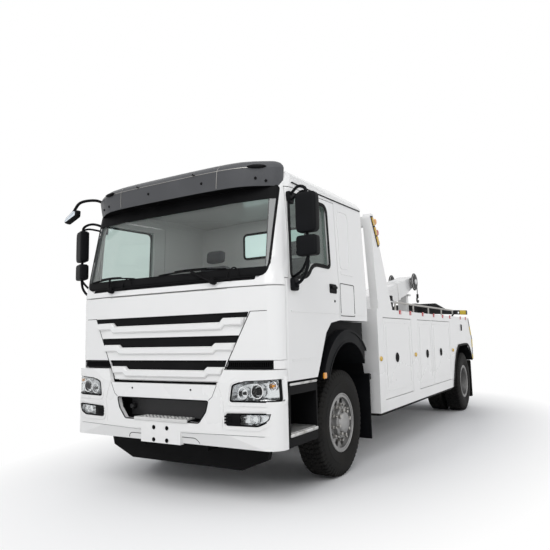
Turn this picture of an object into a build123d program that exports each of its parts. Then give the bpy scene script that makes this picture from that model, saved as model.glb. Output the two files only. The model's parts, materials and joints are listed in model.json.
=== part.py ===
from build123d import *
from math import atan2, cos, degrees, hypot, radians, sin
import os

# Recovery truck: forward-control cab, two axles, side lockers, recovery boom and a folded underlift.
# Millimetres. +Z up, the cab faces -Y, +X is the driver's left. Origin on the ground, mid length.

# Driving dimensions
overall_length = 8300
front_overhang = 1490
wheelbase = 5600

# Wheels
tyre_radius = 542.5
tyre_width = 295
tread_half = 112
shoulder_radius = 452
bead_radius = 290
bead_half = 128
rim_wall = 14
hub_radius = 150
hub_bore = 45
hand_hole_radius = 38
hand_hole_ring = 215
hand_hole_count = 10
front_track_half = 1020
dual_inner_x = 740
dual_outer_x = 1075
spindle_clearance = 0.06

# Chassis
rail_outer_x = 425
rail_flange = 80
rail_web = 10
rail_low = 780
rail_high = 1060
rail_front = 215
rail_rear = 7700
cross_member_width = 90
cross_member_places = (262, 640, 3100, 4000, 5000, 6000, 7655)
spring_x = 390
spring_width = 80

# Steering
kingpin_x = 800
kingpin_radius = 22
beam_eye_radius = 58
beam_eye_half = 80
knuckle_gap = 3
steer_arm_back = 230
tie_rod_radius = 18

# Cab shell
cab_half = 1245
cab_top_half = 1200
cab_face = 50
cab_rear = 2170
cab_low = 1060
cab_rear_low = 1600
cab_belt = 1900
cab_top = 3060
screen_lean = 232
face_flat = 750
corner_set = 60
corner_radius = 150
rear_radius = 95
flat_radius = 520
wall = 60
panel_gap = 8
roof_front = 2916
roof_rear = 3035
split_front = 2845
split_rear = 2900
back_wall = 2110

# Cab doors
door_front = 215
door_rear = 1325
door_top_front = 2795
door_top_rear = 2835
door_post_top = 335
hinge_radius = 30
hinge_top = 1945
post_set = 43
post_gap = 20
glass_thick = 10

# Front lid
lid_thick = 36
lid_gap = 14
lid_top = 1878
lid_side_low = 1245
lid_low = 1040
lid_side_back = 205
lid_low_half = 640
lid_mid_half = 745
slot_depth = 24

# Bumper
bumper_low = 505
bumper_high = 1163
bumper_crease = 620
bumper_tuck = 45
bumper_back = 205
bumper_wall = 45
plate_half = 240
plate_low = 495
plate_high = 660
plate_hole_radius = 16
plate_hole_x = 160
plate_hole_z = 110

# Locker bodies
locker_half = 1250
locker_inner = 620
locker_front = 2400
locker_low = 520
locker_high = 1760
locker_tail_top = 7590
locker_tail = 7850
locker_door_low = 665
locker_door_high = 1650
locker_door_thick = 36
locker_wall = 30
arch_high = 1235
arch_reach_front = 1030
arch_reach_rear = 630

# Deck, boom mast and boom
deck_high = 1180
deck_thick = 40
boom_pivot_back = 3900
boom_pivot_high = 1740
boom_rest_angle = 12
boom_half = 200
boom_depth_half = 165
boom_plate = 16
boom_outer_reach = 2700
boom_inner_reach = 3900
boom_slide_gap = 0.4
boom_pin_radius = 60
mast_plate = 30
sheave_radius = 165
sheave_reach = 3620
sheave_rise = 60
sheave_x = 245
rope_radius = 8
running_gap = 0.06
lift_base_back = 4700
lift_base_high = 1310
lift_eye_reach = 1900
lift_eye_drop = 80
lift_x = 292
lift_barrel_radius = 55
lift_rod_radius = 35
lift_barrel_length = 960
lift_pin_radius = 30

# Underlift
lift_arm_pivot_back = 8080
lift_arm_pivot_high = 800
lift_arm_half = 110
fold_pin_radius = 45
lift_arm_wall = 15
lift_arm_top = 1850
lift_slide_gap = 0.4
lift_head_top = 2130
crossbar_pivot_high = 2000
crossbar_depth = 105
crossbar_half = 1100
crossbar_pin_radius = 40
fork_bore_radius = 25
fork_bore_x = 930

os.makedirs("parts", exist_ok=True)


def back(distance):
    """Y of a place measured backwards from the bumper's face."""
    return distance - overall_length / 2


front_axle_y = back(front_overhang)
rear_axle_y = back(front_overhang + wheelbase)


def save(builder, name):
    """Label a finished piece and write it out."""
    builder.part.label = name
    export_step(builder.part, f"parts/{name}.step")


def slab(x, y, z, mode=Mode.ADD):
    """A block between two X, two Y and two Z values."""
    centre = (sum(x) / 2, sum(y) / 2, sum(z) / 2)
    with Locations(centre):
        Box(abs(x[1] - x[0]), abs(y[1] - y[0]), abs(z[1] - z[0]), mode=mode)


def prism(plane, points, depth, mode=Mode.ADD, radius=0, inset=0):
    """An outline on a plane, with rounded corners or an inset, carried along the plane's normal."""
    with BuildSketch(plane) as outline:
        with BuildLine():
            Polyline(*points, close=True)
        make_face()
        if inset:
            offset(amount=-inset, kind=Kind.INTERSECTION, mode=Mode.REPLACE)
        if radius:
            fillet(outline.vertices(), radius)
    extrude(to_extrude=outline.sketch, amount=depth, mode=mode)


def side_prism(points, x, mode=Mode.ADD, radius=0, inset=0):
    """A side-view outline, as (distance back, height), carried between two X values."""
    plane = Plane.YZ.offset(min(x))
    prism(plane, [(back(d), z) for d, z in points], abs(x[1] - x[0]), mode, radius, inset)


def front_prism(points, d, mode=Mode.ADD, radius=0, inset=0):
    """A front-view outline, as (X, height), carried between two distances back."""
    plane = Plane.XZ.offset(-back(max(d)))
    prism(plane, points, abs(d[1] - d[0]), mode, radius, inset)


def bar_x(x, y, z, radius, mode=Mode.ADD):
    """A round bar along X."""
    with Locations((sum(x) / 2, y, z)):
        Cylinder(radius, abs(x[1] - x[0]), rotation=(0, 90, 0), mode=mode)


def bar_y(x, y, z, radius, mode=Mode.ADD):
    """A round bar along Y."""
    with Locations((x, sum(y) / 2, z)):
        Cylinder(radius, abs(y[1] - y[0]), rotation=(90, 0, 0), mode=mode)


def bar_z(x, y, z, radius, mode=Mode.ADD):
    """A round bar along Z."""
    with Locations((x, y, sum(z) / 2)):
        Cylinder(radius, abs(z[1] - z[0]), mode=mode)


def strut(start, end, radius, mode=Mode.ADD):
    """A round bar between two points."""
    run = Vector(*end) - Vector(*start)
    with BuildSketch(Plane(origin=start, z_dir=run)) as ring:
        Circle(radius)
    extrude(to_extrude=ring.sketch, amount=run.length, mode=mode)


def both_ways(half):
    """An X range of equal reach to both sides."""
    return (-half, half)


# Chassis: two channel rails, the cross members between them, and the cheeks that carry the underlift
bracket_x = (lift_arm_half + 15, lift_arm_half + 45)
with BuildPart() as chassis_frame:
    for side in (1, -1):
        rail_y = (back(rail_front), back(rail_rear))
        slab((side * (rail_outer_x - rail_flange), side * rail_outer_x), rail_y, (rail_low, rail_high))
        slab(
            (side * (rail_outer_x - rail_flange), side * (rail_outer_x - rail_web)),
            rail_y,
            (rail_low + rail_web, rail_high - rail_web),
            Mode.SUBTRACT,
        )
    for place in cross_member_places:
        slab(
            both_ways(rail_outer_x - rail_web),
            (back(place - cross_member_width / 2), back(place + cross_member_width / 2)),
            (rail_low + 120, rail_high - rail_web),
        )
    for side in (1, -1):
        side_prism(
            [
                (rail_rear, 700), (lift_arm_pivot_back + 90, 700), (lift_arm_pivot_back + 90, 890),
                (lift_arm_pivot_back - 160, 1040), (rail_rear, 1040),
            ],
            (side * bracket_x[0], side * bracket_x[1]),
        )
    slab(both_ways(rail_outer_x), (back(rail_rear), back(rail_rear + 40)), (700, rail_high))
    bar_x(both_ways(bracket_x[1]), back(lift_arm_pivot_back), lift_arm_pivot_high, fold_pin_radius)
save(chassis_frame, "chassis_frame")

# Front axle: a dropped beam with a kingpin eye at each end
axle_z = tyre_radius
with BuildPart() as front_axle:
    front_prism(
        [
            (-kingpin_x, axle_z + 55), (-kingpin_x + 130, axle_z + 45), (-520, axle_z - 30), (520, axle_z - 30),
            (kingpin_x - 130, axle_z + 45), (kingpin_x, axle_z + 55), (kingpin_x, axle_z - 55),
            (kingpin_x - 130, axle_z - 75), (520, axle_z - 140), (-520, axle_z - 140),
            (-kingpin_x + 130, axle_z - 75), (-kingpin_x, axle_z - 55),
        ],
        (front_overhang - 48, front_overhang + 48),
    )
    for side in (1, -1):
        eye_z = (axle_z - beam_eye_half, axle_z + beam_eye_half)
        bar_z(side * kingpin_x, front_axle_y, eye_z, beam_eye_radius)
        bar_z(side * kingpin_x, front_axle_y, eye_z, kingpin_radius + running_gap, Mode.SUBTRACT)
        slab(
            (side * (spring_x - spring_width / 2), side * (spring_x + spring_width / 2)),
            (front_axle_y - 90, front_axle_y + 90),
            (axle_z - 40, axle_z + 20),
        )
save(front_axle, "front_axle")

# Rear axle: round tubes, a differential bowl and the spring seats
hub_inner_x = dual_inner_x - tyre_width / 2 - 40
with BuildPart() as rear_axle:
    bar_x(both_ways(hub_inner_x), rear_axle_y, tyre_radius, 75)
    bar_x(both_ways(dual_outer_x - 60), rear_axle_y, tyre_radius, hub_bore - spindle_clearance)
    with Locations((0, rear_axle_y, tyre_radius)):
        Sphere(205)
    bar_y(0, (rear_axle_y - 330, rear_axle_y - 150), tyre_radius, 95)
    for side in (1, -1):
        slab(
            (side * (spring_x - spring_width / 2), side * (spring_x + spring_width / 2)),
            (rear_axle_y - 90, rear_axle_y + 90),
            (tyre_radius + 40, tyre_radius + 95),
        )
save(rear_axle, "rear_axle")

# Leaf springs: shallow packs with an eye at each end, and the hangers that reach the rails
# columns: axle place, half length, seat height
spring_table = (
    (front_overhang, 760, axle_z + 20),
    (front_overhang + wheelbase, 600, tyre_radius + 95),
)
with BuildPart() as leaf_springs:
    for place, half, seat in spring_table:
        for side in (1, -1):
            x = (side * (spring_x - spring_width / 2), side * (spring_x + spring_width / 2))
            side_prism(
                [
                    (place - half, rail_low), (place - half, rail_low - 70), (place - half + 60, rail_low - 70),
                    (place - 110, seat), (place + 110, seat),
                    (place + half - 60, rail_low - 70), (place + half, rail_low - 70), (place + half, rail_low),
                    (place + half - 90, rail_low), (place + half - 90, rail_low - 45),
                    (place + 110, seat + 75), (place - 110, seat + 75),
                    (place - half + 90, rail_low - 45), (place - half + 90, rail_low),
                ],
                x,
            )
save(leaf_springs, "leaf_springs")

# Engine and gearbox as plain blocks, the radiator, and the shaft to the rear axle
gearbox_rear = 2960
shaft_start = (0, back(gearbox_rear), 850)
shaft_end = (0, rear_axle_y - 334.5, tyre_radius)
with BuildPart() as powertrain:
    slab(both_ways(330), (back(1060), back(2060)), (640, 1480))
    slab(both_ways(230), (back(2060), back(gearbox_rear)), (660, 1040))
    slab(both_ways(325), (back(340), back(460)), (560, 1000))
    slab(both_ways(60), (back(460), back(1060)), (800, 860))
    strut(shaft_start, shaft_end, 55)
save(powertrain, "powertrain")


def cab_outline(z, front, half, inset):
    """Plan outline of the cab at one height: flat face, slanted shoulders, rounded corners."""
    half_in = half - inset
    rear = back(cab_rear) - inset
    face = back(front) + inset
    shoulder = face + corner_set
    corner = corner_radius - inset
    with BuildSketch(Plane.XY.offset(z)) as outline:
        with BuildLine():
            FilletPolyline(
                (-half_in, rear), (-half_in, shoulder), (-face_flat, face),
                (face_flat, face), (half_in, shoulder), (half_in, rear),
                radius=[rear_radius - inset, corner, flat_radius, flat_radius, corner, rear_radius - inset],
                close=True,
            )
        make_face()
    return outline.sketch


def cab_form(inset):
    """The whole cab as one solid, all its faces moved in by the inset."""
    lower = cab_outline(cab_low - 100, cab_face, cab_half, inset)
    belt = cab_outline(cab_belt, cab_face, cab_half, inset)
    top = cab_outline(cab_top, cab_face + screen_lean, cab_top_half, inset)
    with BuildPart() as form:
        extrude(to_extrude=lower, amount=cab_belt - cab_low + 100)
        loft(sections=[belt, top], ruled=True)
        side_prism(
            [
                (-200, cab_low), (-200, roof_front), (1900, roof_rear), (2400, roof_rear), (2400, cab_rear_low),
                (1330, cab_rear_low), (1110, cab_rear_low - 30), (990, cab_rear_low - 130),
                (800, cab_low + 40), (775, cab_low),
            ],
            both_ways(1500),
            Mode.INTERSECT,
            inset=inset,
        )
        front_prism(
            [
                (-1500, 900), (-1500, 2830 - 200), (-1300, 2830), (-1120, 3010), (0, cab_top), (1120, 3010),
                (1300, 2830), (1500, 2830 - 200), (1500, 900),
            ],
            (-300, 2500),
            Mode.INTERSECT,
            inset=inset,
        )
    return form.part


cab_outside = cab_form(0)
cab_inside = cab_form(wall)
with BuildPart() as cab_shell:
    add(cab_outside)
    add(cab_inside, mode=Mode.SUBTRACT)

floor_half = cab_half - wall - 6
floor_top = cab_rear_low + wall + 30
floor_room = [
    (cab_face + wall, 900), (back_wall, 900), (back_wall, floor_top), (900, floor_top),
    (700, cab_low + wall + 5), (cab_face + wall, cab_low + wall + 5),
]
shoulder_room = (
    (lid_low_half, 1500),
    (back(-200), back(bumper_back + panel_gap)),
    (900, bumper_high + panel_gap),
)


def below_roof(front, rear):
    """Side-view outline of everything under the roof's joint line between two places."""
    slope = (split_rear - split_front) / (2300 - 200)
    return [
        (front, 900),
        (rear, 900),
        (rear, split_front + slope * (rear - 200)),
        (front, split_front + slope * (front - 200)),
    ]


# Roof panel above the drip rails
with BuildPart() as cab_roof:
    add(cab_shell.part)
    side_prism(below_roof(-300, 2400), both_ways(1500), Mode.SUBTRACT)
save(cab_roof, "cab_roof")

# Back wall
with BuildPart() as cab_back:
    add(cab_shell.part)
    side_prism(below_roof(back_wall, 2400), both_ways(1500), Mode.INTERSECT)
save(cab_back, "cab_back")

# Floor with the engine hump between the side walls
with BuildPart() as cab_floor:
    add(cab_shell.part)
    side_prism(floor_room, both_ways(floor_half), Mode.INTERSECT)
    for side in (1, -1):
        slab([side * x for x in shoulder_room[0]], shoulder_room[1], shoulder_room[2], Mode.SUBTRACT)
save(cab_floor, "cab_floor")

# The door's outline, and the same outline grown by the panel gap for its opening
door_outline = [
    (door_front, 900), (door_rear, 900), (door_rear, door_top_rear), (door_post_top, door_top_front),
    (door_front + hinge_radius + post_set, hinge_top), (door_front, hinge_top),
]
opening_outline = [
    (door_front - panel_gap, 880), (door_rear + panel_gap, 880),
    (door_rear + panel_gap, door_top_rear + panel_gap), (door_post_top - panel_gap, door_top_front + panel_gap),
    (door_front + hinge_radius + post_set - panel_gap, hinge_top + panel_gap),
    (door_front - panel_gap, hinge_top + panel_gap),
]
window_outline = [
    (door_post_top + 20, 2735), (1140, 2765), (1140, 2130), (760, 2130), (640, 1990), (322, 1965),
]

# Side walls: rear quarters behind the doors and the rails above them
with BuildPart() as cab_sides:
    add(cab_shell.part)
    side_prism(below_roof(door_post_top - panel_gap, back_wall), both_ways(1500), Mode.INTERSECT)
    slab(both_ways(floor_half), (back(0), back(2400)), (900, floor_top), Mode.SUBTRACT)
    side_prism(opening_outline, both_ways(1500), Mode.SUBTRACT)
save(cab_sides, "cab_sides")

# Each door turns on two pins that leaves on the front posts hold
hinge_x = cab_half - hinge_radius
hinge_y = back(door_front + hinge_radius)
hinge_heights = (1280, 1760)
hinge_leaf_half = 18
hinge_pin_half = 55
hinge_pin_radius = 10
hinge_eye_radius = 20
pillar_front = 185

# The front lid turns on pins held by two leaves at its top edge
lid_hinge_y = back(cab_face + lid_thick / 2)
lid_hinge_z = lid_top - lid_thick / 2
lid_leaf_x = (460, 500)
lid_pin_x = (420, 540)
lid_eye_radius = 11
lid_pin_radius = 6

# Front frame: windscreen surround, cowl and the thin wall behind the lid
screen_outline = [(-1120, 1965), (1120, 1965), (1085, 2815), (-1085, 2815)]
front_split = [
    (-200, 900), (door_front - panel_gap, 900), (door_front - panel_gap, hinge_top + panel_gap),
    (door_front + hinge_radius + post_set - post_gap, hinge_top + panel_gap),
    (door_post_top - panel_gap, door_top_front + panel_gap),
    (door_post_top - panel_gap, split_front + 3), (-200, split_front - 10),
]
cab_behind_lid = cab_form(lid_thick + lid_gap)
with BuildPart() as lid_room:
    add(cab_outside)
    add(cab_behind_lid, mode=Mode.SUBTRACT)
    slab(both_ways(1500), (back(-200), back(400)), (cab_low - 100, lid_top + panel_gap), Mode.INTERSECT)
with BuildPart() as cab_front:
    add(cab_shell.part)
    side_prism(front_split, both_ways(1500), Mode.INTERSECT)
    side_prism(below_roof(-300, 500), both_ways(1500), Mode.INTERSECT)
    add(lid_room.part, mode=Mode.SUBTRACT)
    side_prism(floor_room, both_ways(floor_half), Mode.SUBTRACT)
    for side in (1, -1):
        slab([side * x for x in shoulder_room[0]], shoulder_room[1], shoulder_room[2], Mode.SUBTRACT)
    front_prism(screen_outline, (-200, 400), Mode.SUBTRACT)
    for side in (1, -1):
        slab((side * 1105, side * (floor_half - 2)), (back(pillar_front), back(300)), (cab_low + wall, cab_belt))
        slab((side * 1060, side * 1110), (back(146), back(300)), (bumper_high + panel_gap, cab_belt))
        for height in hinge_heights:
            leaf_z = (height - hinge_leaf_half, height + hinge_leaf_half)
            slab((side * 1110, side * hinge_x), (hinge_y - 8, hinge_y + 8), leaf_z)
            bar_z(side * hinge_x, hinge_y, leaf_z, hinge_eye_radius)
            bar_z(side * hinge_x, hinge_y, (height - hinge_pin_half, height + hinge_pin_half), hinge_pin_radius)
        leaf_x = [side * x for x in lid_leaf_x]
        slab(leaf_x, (lid_hinge_y, back(cab_face + wall)), (lid_hinge_z - 7, lid_hinge_z + 7))
        bar_x(leaf_x, lid_hinge_y, lid_hinge_z, lid_eye_radius)
        bar_x([side * x for x in lid_pin_x], lid_hinge_y, lid_hinge_z, lid_pin_radius)
save(cab_front, "cab_front")

# Windscreen set into the front frame
glass_outside = cab_form(6)
glass_inside = cab_form(6 + glass_thick)
with BuildPart() as windscreen:
    add(glass_outside)
    add(glass_inside, mode=Mode.SUBTRACT)
    front_prism(screen_outline, (-200, 400), Mode.INTERSECT)
save(windscreen, "windscreen")

# Sun visor over the windscreen, and the kerb mirror that hangs from its right end
visor_profile = [
    (80, 2800), (55, 2970), (150, 3055), (330, 3090), (330, 2940), (250, 2900), (135, 2885), (112, 2800),
]
kerb_mirror_outline = [
    (-1450, 2750), (-1440, 2790), (-1300, 2870), (-1250, 2860), (-1255, 2800), (-1420, 2735),
]
# columns: X, distance back, on one half of the visor's plan
visor_plan = ((600, 40), (950, 90), (1120, 175), (1195, 280), (1195, 400))
with BuildPart() as roof_visor:
    side_prism(visor_profile, both_ways(1205))
    add(cab_outside, mode=Mode.SUBTRACT)
    half_plan = [(x, back(d)) for x, d in visor_plan]
    whole_plan = half_plan + [(-x, y) for x, y in reversed(half_plan)]
    prism(Plane.XY.offset(2700), whole_plan, 500, Mode.INTERSECT, radius=35)
    strut((-1110, back(280), 2990), (-1290, back(90), 2940), 14)
    strut((-1290, back(90), 2940), (-1350, back(60), 2840), 14)
    front_prism(kerb_mirror_outline, (30, 75))
save(roof_visor, "roof_visor")

# Bumper: a wrapped shell with a tucked lower face
bumper_section = [
    (22, bumper_high), (0, bumper_high - 110), (0, bumper_crease), (bumper_tuck, bumper_low),
    (500, bumper_low), (500, bumper_high),
]


def bumper_form(inset):
    """The bumper's outer form as one solid, moved in by the inset."""
    half_in = cab_half - inset
    shoulder = back(corner_set) + inset
    with BuildPart() as form:
        with BuildSketch(Plane.XY.offset(bumper_low - 100)) as plan:
            with BuildLine():
                FilletPolyline(
                    (-half_in, back(600)), (-half_in, shoulder), (-face_flat, back(inset)),
                    (face_flat, back(inset)), (half_in, shoulder), (half_in, back(600)),
                    radius=[1, corner_radius - inset, flat_radius, flat_radius, corner_radius - inset, 1],
                    close=True,
                )
            make_face()
        extrude(to_extrude=plan.sketch, amount=bumper_high - bumper_low + 200)
        side_prism(bumper_section, both_ways(1500), Mode.INTERSECT, inset=inset)
        slab(both_ways(1500), (back(-50), back(bumper_back)), (0, 2000), Mode.INTERSECT)
    return form.part


head_lamp = [(790, 900), (812, 1036), (925, 1072), (1400, 1098), (1400, 903)]
fog_lamp = [(755, 702), (755, 795), (1165, 806), (1150, 757), (1120, 732), (1050, 702)]
bumper_top = [
    (-1500, 300), (1500, 300), (1500, bumper_high), (lid_mid_half - 33, bumper_high),
    (lid_low_half + 10, lid_low - panel_gap), (-lid_low_half - 10, lid_low - panel_gap),
    (-lid_mid_half + 33, bumper_high), (-1500, bumper_high),
]
bumper_outside = bumper_form(0)
bumper_hollow = bumper_form(bumper_wall)
with BuildPart() as bumper:
    add(bumper_outside)
    add(bumper_hollow, mode=Mode.SUBTRACT)
    slab(both_ways(cab_half - bumper_wall), (back(bumper_wall + 100), back(600)), (300, 1300), Mode.SUBTRACT)
    front_prism(bumper_top, (-100, 600), Mode.INTERSECT)
    slab(both_ways(plate_half), (back(0), back(bumper_wall)), (plate_low, plate_high))
    front_prism(
        [(-555, 893), (-530, 800), (-450, 700), (450, 700), (530, 800), (555, 893)],
        (-100, 600),
        Mode.SUBTRACT,
        radius=18,
    )
    for x in (-plate_hole_x / 2, plate_hole_x / 2):
        for z in (-plate_hole_z / 2, plate_hole_z / 2):
            middle = (plate_low + plate_high) / 2
            bar_y(x, (back(-20), back(bumper_wall + 40)), middle + z, plate_hole_radius, Mode.SUBTRACT)
    for side in (1, -1):
        front_prism([(side * x, z) for x, z in head_lamp], (-100, 600), Mode.SUBTRACT)
        front_prism([(side * x, z) for x, z in fog_lamp], (-100, 600), Mode.SUBTRACT)
save(bumper, "bumper")

# Lamps of the bumper: lens blocks that fill their cut-outs, flush with the skin
lens_face = bumper_form(3)
with BuildPart() as lamp_cutouts:
    for side in (1, -1):
        for outline in (head_lamp, fog_lamp):
            front_prism([(side * x, z) for x, z in outline], (-100, bumper_back))
with BuildPart() as front_lamps:
    add(lens_face)
    add(bumper_hollow, mode=Mode.SUBTRACT)
    add(lamp_cutouts.part, mode=Mode.INTERSECT)
save(front_lamps, "front_lamps")

under_run_back = 330
# Step plate, dark screen behind the bumper's mouth and the under-run bar, on brackets from the rails
with BuildPart() as bumper_insert:
    slab(both_ways(330), (back(2), back(170)), (700, 712))
    slab(both_ways(600), (back(150), back(170)), (590, 940))
    front_prism(
        [(-980, 470), (-950, 360), (-680, 250), (680, 250), (950, 360), (980, 470)],
        (under_run_back, under_run_back + 60),
    )
    for side in (1, -1):
        slab((side * 350, side * 420), (back(170), back(rail_front)), (430, 900))
        slab((side * 350, side * 420), (back(170), back(under_run_back + 10)), (430, rail_low - 10))
save(bumper_insert, "bumper_insert")

# Cab steps: a box under each door with two treads
step_front = 255
step_rear = 795
step_inner = 930
step_outer = 1225
step_low = 500
step_high = 1045
tread_low = 614
tread_high = 940
with BuildPart() as cab_steps:
    for side in (1, -1):
        slab((side * step_inner, side * step_outer), (back(step_front), back(step_rear)), (step_low, step_high))
        slab(
            (side * (step_inner + 30), side * (step_outer + 10)),
            (back(step_front + 25), back(step_rear - 25)),
            (tread_low, tread_high),
            Mode.SUBTRACT,
        )
        bearer_y = (back(step_front + 60), back(step_front + 140))
        slab((side * rail_outer_x, side * step_inner), bearer_y, (800, 860))
save(cab_steps, "cab_steps")

# Front fenders: a flared arch band over each wheel with its liner, and the flap behind
arch_back = front_overhang + 30
arch_z = 850
arch_outer = 655
arch_inner = 520
flap_front = 2215
flap_rear = 2235
with BuildPart() as front_fenders:
    for side in (1, -1):
        bar_x((side * 1160, side * 1248), back(arch_back), arch_z, arch_outer)
        bar_x((side * 640, side * 1160), back(arch_back), arch_z, arch_inner + 25)
        bar_x((side * 600, side * 1260), back(arch_back), arch_z, arch_inner, Mode.SUBTRACT)
    slab(both_ways(1300), (back(arch_back - 700), back(arch_back + 700)), (0, 1030), Mode.SUBTRACT)
    slab(both_ways(1300), (back(arch_back + 440), back(arch_back + 700)), (0, 1265), Mode.SUBTRACT)
    for side in (1, -1):
        slab((side * 700, side * 1190), (back(flap_front), back(flap_rear)), (260, 1000))
        slab((side * rail_outer_x, side * 1190), (back(flap_front), back(flap_front + 60)), (930, 990))
        slab((side * rail_outer_x, side * 700), (back(arch_back - 30), back(arch_back + 30)), (1380, 1395))
        slab((side * rail_outer_x, side * 445), (back(arch_back - 30), back(arch_back + 30)), (1000, 1395))
save(front_fenders, "front_fenders")

# Cab doors with their glass and mirrors, left and right
pane_outside = cab_form(22)
pane_inside = cab_form(22 + glass_thick)
door_low = cab_low
for side, hand in ((1, "left"), (-1, "right")):
    with BuildPart() as cab_door:
        add(cab_shell.part)
        side_prism(door_outline, (side * 900, side * 1500), Mode.INTERSECT)
        slab((side * 900, side * (cab_half - wall)), (back(0), back(2400)), (800, floor_top), Mode.SUBTRACT)
        slab((side * 1150, side * 1300), (back(0), hinge_y), (900, hinge_top), Mode.SUBTRACT)
        bar_z(side * hinge_x, hinge_y, (door_low, hinge_top), hinge_radius)
        for height in hinge_heights:
            notch = hinge_leaf_half + 6
            notch_z = (height - notch, height + notch)
            bar_z(side * hinge_x, hinge_y, notch_z, hinge_eye_radius + 4, Mode.SUBTRACT)
            slab((side * (hinge_x - 50), side * hinge_x), (hinge_y - 50, hinge_y + 13), notch_z, Mode.SUBTRACT)
            pin_z = (height - hinge_pin_half - 5, height + hinge_pin_half + 5)
            bar_z(side * hinge_x, hinge_y, pin_z, hinge_pin_radius + running_gap, Mode.SUBTRACT)
        side_prism(window_outline, (side * 900, side * 1500), Mode.SUBTRACT)
    save(cab_door, f"door_{hand}")

    with BuildPart() as door_glass:
        add(pane_outside)
        add(pane_inside, mode=Mode.SUBTRACT)
        side_prism(window_outline, (side * 900, side * 1500), Mode.INTERSECT)
    save(door_glass, f"door_glass_{hand}")

    # Two mirror heads on a tube that stands off the door's front post
    arm_x = side * 1440
    with BuildPart() as mirror:
        strut((side * 1180, back(400), 2600), (arm_x, back(270), 2640), 13)
        strut((side * 1200, back(330), 1880), (arm_x, back(270), 2060), 13)
        strut((arm_x, back(270), 2045), (arm_x, back(270), 2655), 13)
        for low, high in ((2125, 2300), (2330, 2680)):
            slab((side * 1345, side * 1545), (back(225), back(315)), (low, high))
        side_prism(door_outline, (side * 900, side * (cab_top_half + 30)), Mode.SUBTRACT)
        add(cab_outside, mode=Mode.SUBTRACT)
    save(mirror, f"mirror_{hand}")

# Front lid: band, corners and grille face in one skin, rolled about its hinge line at the top
lid_outline = [
    (-1500, lid_top), (1500, lid_top), (1500, lid_side_low), (lid_mid_half, lid_side_low),
    (lid_low_half, lid_low), (-lid_low_half, lid_low), (-lid_mid_half, lid_side_low), (-1500, lid_side_low),
]
# columns: top, low edge of the ends, low edge of the middle, half width of the ends, of the middle
grille_slots = (
    (1660, 1615, 1580, 945, 690),
    (1460, 1396, 1368, 850, 600),
    (1244, 1185, 1155, 725, 510),
)
lid_inside = cab_form(lid_thick)
with BuildPart() as slot_cut:
    for top, end_low, mid_low, end_half, mid_half in grille_slots:
        lean = (top - end_low) * 0.33
        front_prism(
            [
                (-end_half, top), (end_half, top), (end_half - lean, end_low), (mid_half, end_low),
                (mid_half - 35, mid_low), (35 - mid_half, mid_low),
                (-mid_half, end_low), (lean - end_half, end_low),
            ],
            (-200, cab_face + slot_depth),
        )
slat_rise = 24
slat_high = 66
slat_edge = 10
with BuildPart() as grille_slats:
    for top, end_low, mid_low, end_half, mid_half in grille_slots:
        out = end_half - (top - end_low) * 0.33 - 14
        front_prism(
            [
                (-out, end_low - 6), (-mid_half, end_low - 6),
                (35 - mid_half, mid_low - 6), (mid_half - 35, mid_low - 6),
                (mid_half, end_low - 6), (out, end_low - 6), (out - 24, end_low - slat_high),
                (mid_half + 20, end_low - slat_high), (mid_half - 15, mid_low - slat_high),
                (15 - mid_half, mid_low - slat_high), (-mid_half - 20, end_low - slat_high),
                (24 - out, end_low - slat_high),
            ],
            (cab_face - slat_rise, cab_face + 10),
        )
    chamfer(grille_slats.faces().filter_by(Axis.Y).group_by(Axis.Y)[0].edges(), slat_edge)
with BuildPart() as front_lid:
    add(cab_outside)
    add(lid_inside, mode=Mode.SUBTRACT)
    front_prism(lid_outline, (-200, lid_side_back), Mode.INTERSECT)
    slab(both_ways(face_flat), (back(cab_face + lid_thick), back(400)), (900, lid_side_low - 40), Mode.SUBTRACT)
    slab(both_ways(face_flat - 10), (back(0), back(400)), (lid_hinge_z, lid_top + 50), Mode.SUBTRACT)
    bar_x(both_ways(face_flat - 10), lid_hinge_y, lid_hinge_z, lid_thick / 2)
    for side in (1, -1):
        slab(
            (side * (lid_leaf_x[0] - 6), side * (lid_leaf_x[1] + 6)),
            (lid_hinge_y - lid_eye_radius - 2, lid_hinge_y + 40),
            (lid_hinge_z - lid_eye_radius - 2, lid_top + 10),
            Mode.SUBTRACT,
        )
        pin_room = (side * (lid_pin_x[0] - 2), side * (lid_pin_x[1] + 2))
        bar_x(pin_room, lid_hinge_y, lid_hinge_z, lid_pin_radius + running_gap, Mode.SUBTRACT)
    add(slot_cut.part, mode=Mode.SUBTRACT)
    add(grille_slats.part)
save(front_lid, "front_lid")

# Dark mesh strips that lie in the bottom of the grille's slots
mesh_thick = 8
with BuildPart() as lid_grille:
    add(slot_cut.part)
    mesh_y = (back(cab_face + slot_depth - mesh_thick), back(cab_face + slot_depth))
    slab(both_ways(1500), mesh_y, (900, 1900), Mode.INTERSECT)
save(lid_grille, "lid_grille")

# Dashboard with the steering column and wheel
wheel_x = 560
wheel_plane = Plane(origin=(wheel_x, back(640), 1905), z_dir=(0, 0.45, 1))
with BuildPart() as dashboard:
    side_prism([(165, 1500), (165, 1880), (330, 1900), (470, 1830), (480, 1620), (330, 1500)], both_ways(1040))
    slab(both_ways(700), (back(cab_face + wall), back(170)), (1520, 1880))
    strut((wheel_x, back(440), 1700), (wheel_x, back(640), 1905), 35)
    with BuildSketch(wheel_plane) as wheel_ring:
        Circle(235)
        Circle(200, mode=Mode.SUBTRACT)
        Rectangle(420, 50)
        Circle(60)
    extrude(to_extrude=wheel_ring.sketch, amount=32)
save(dashboard, "dashboard")

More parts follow.
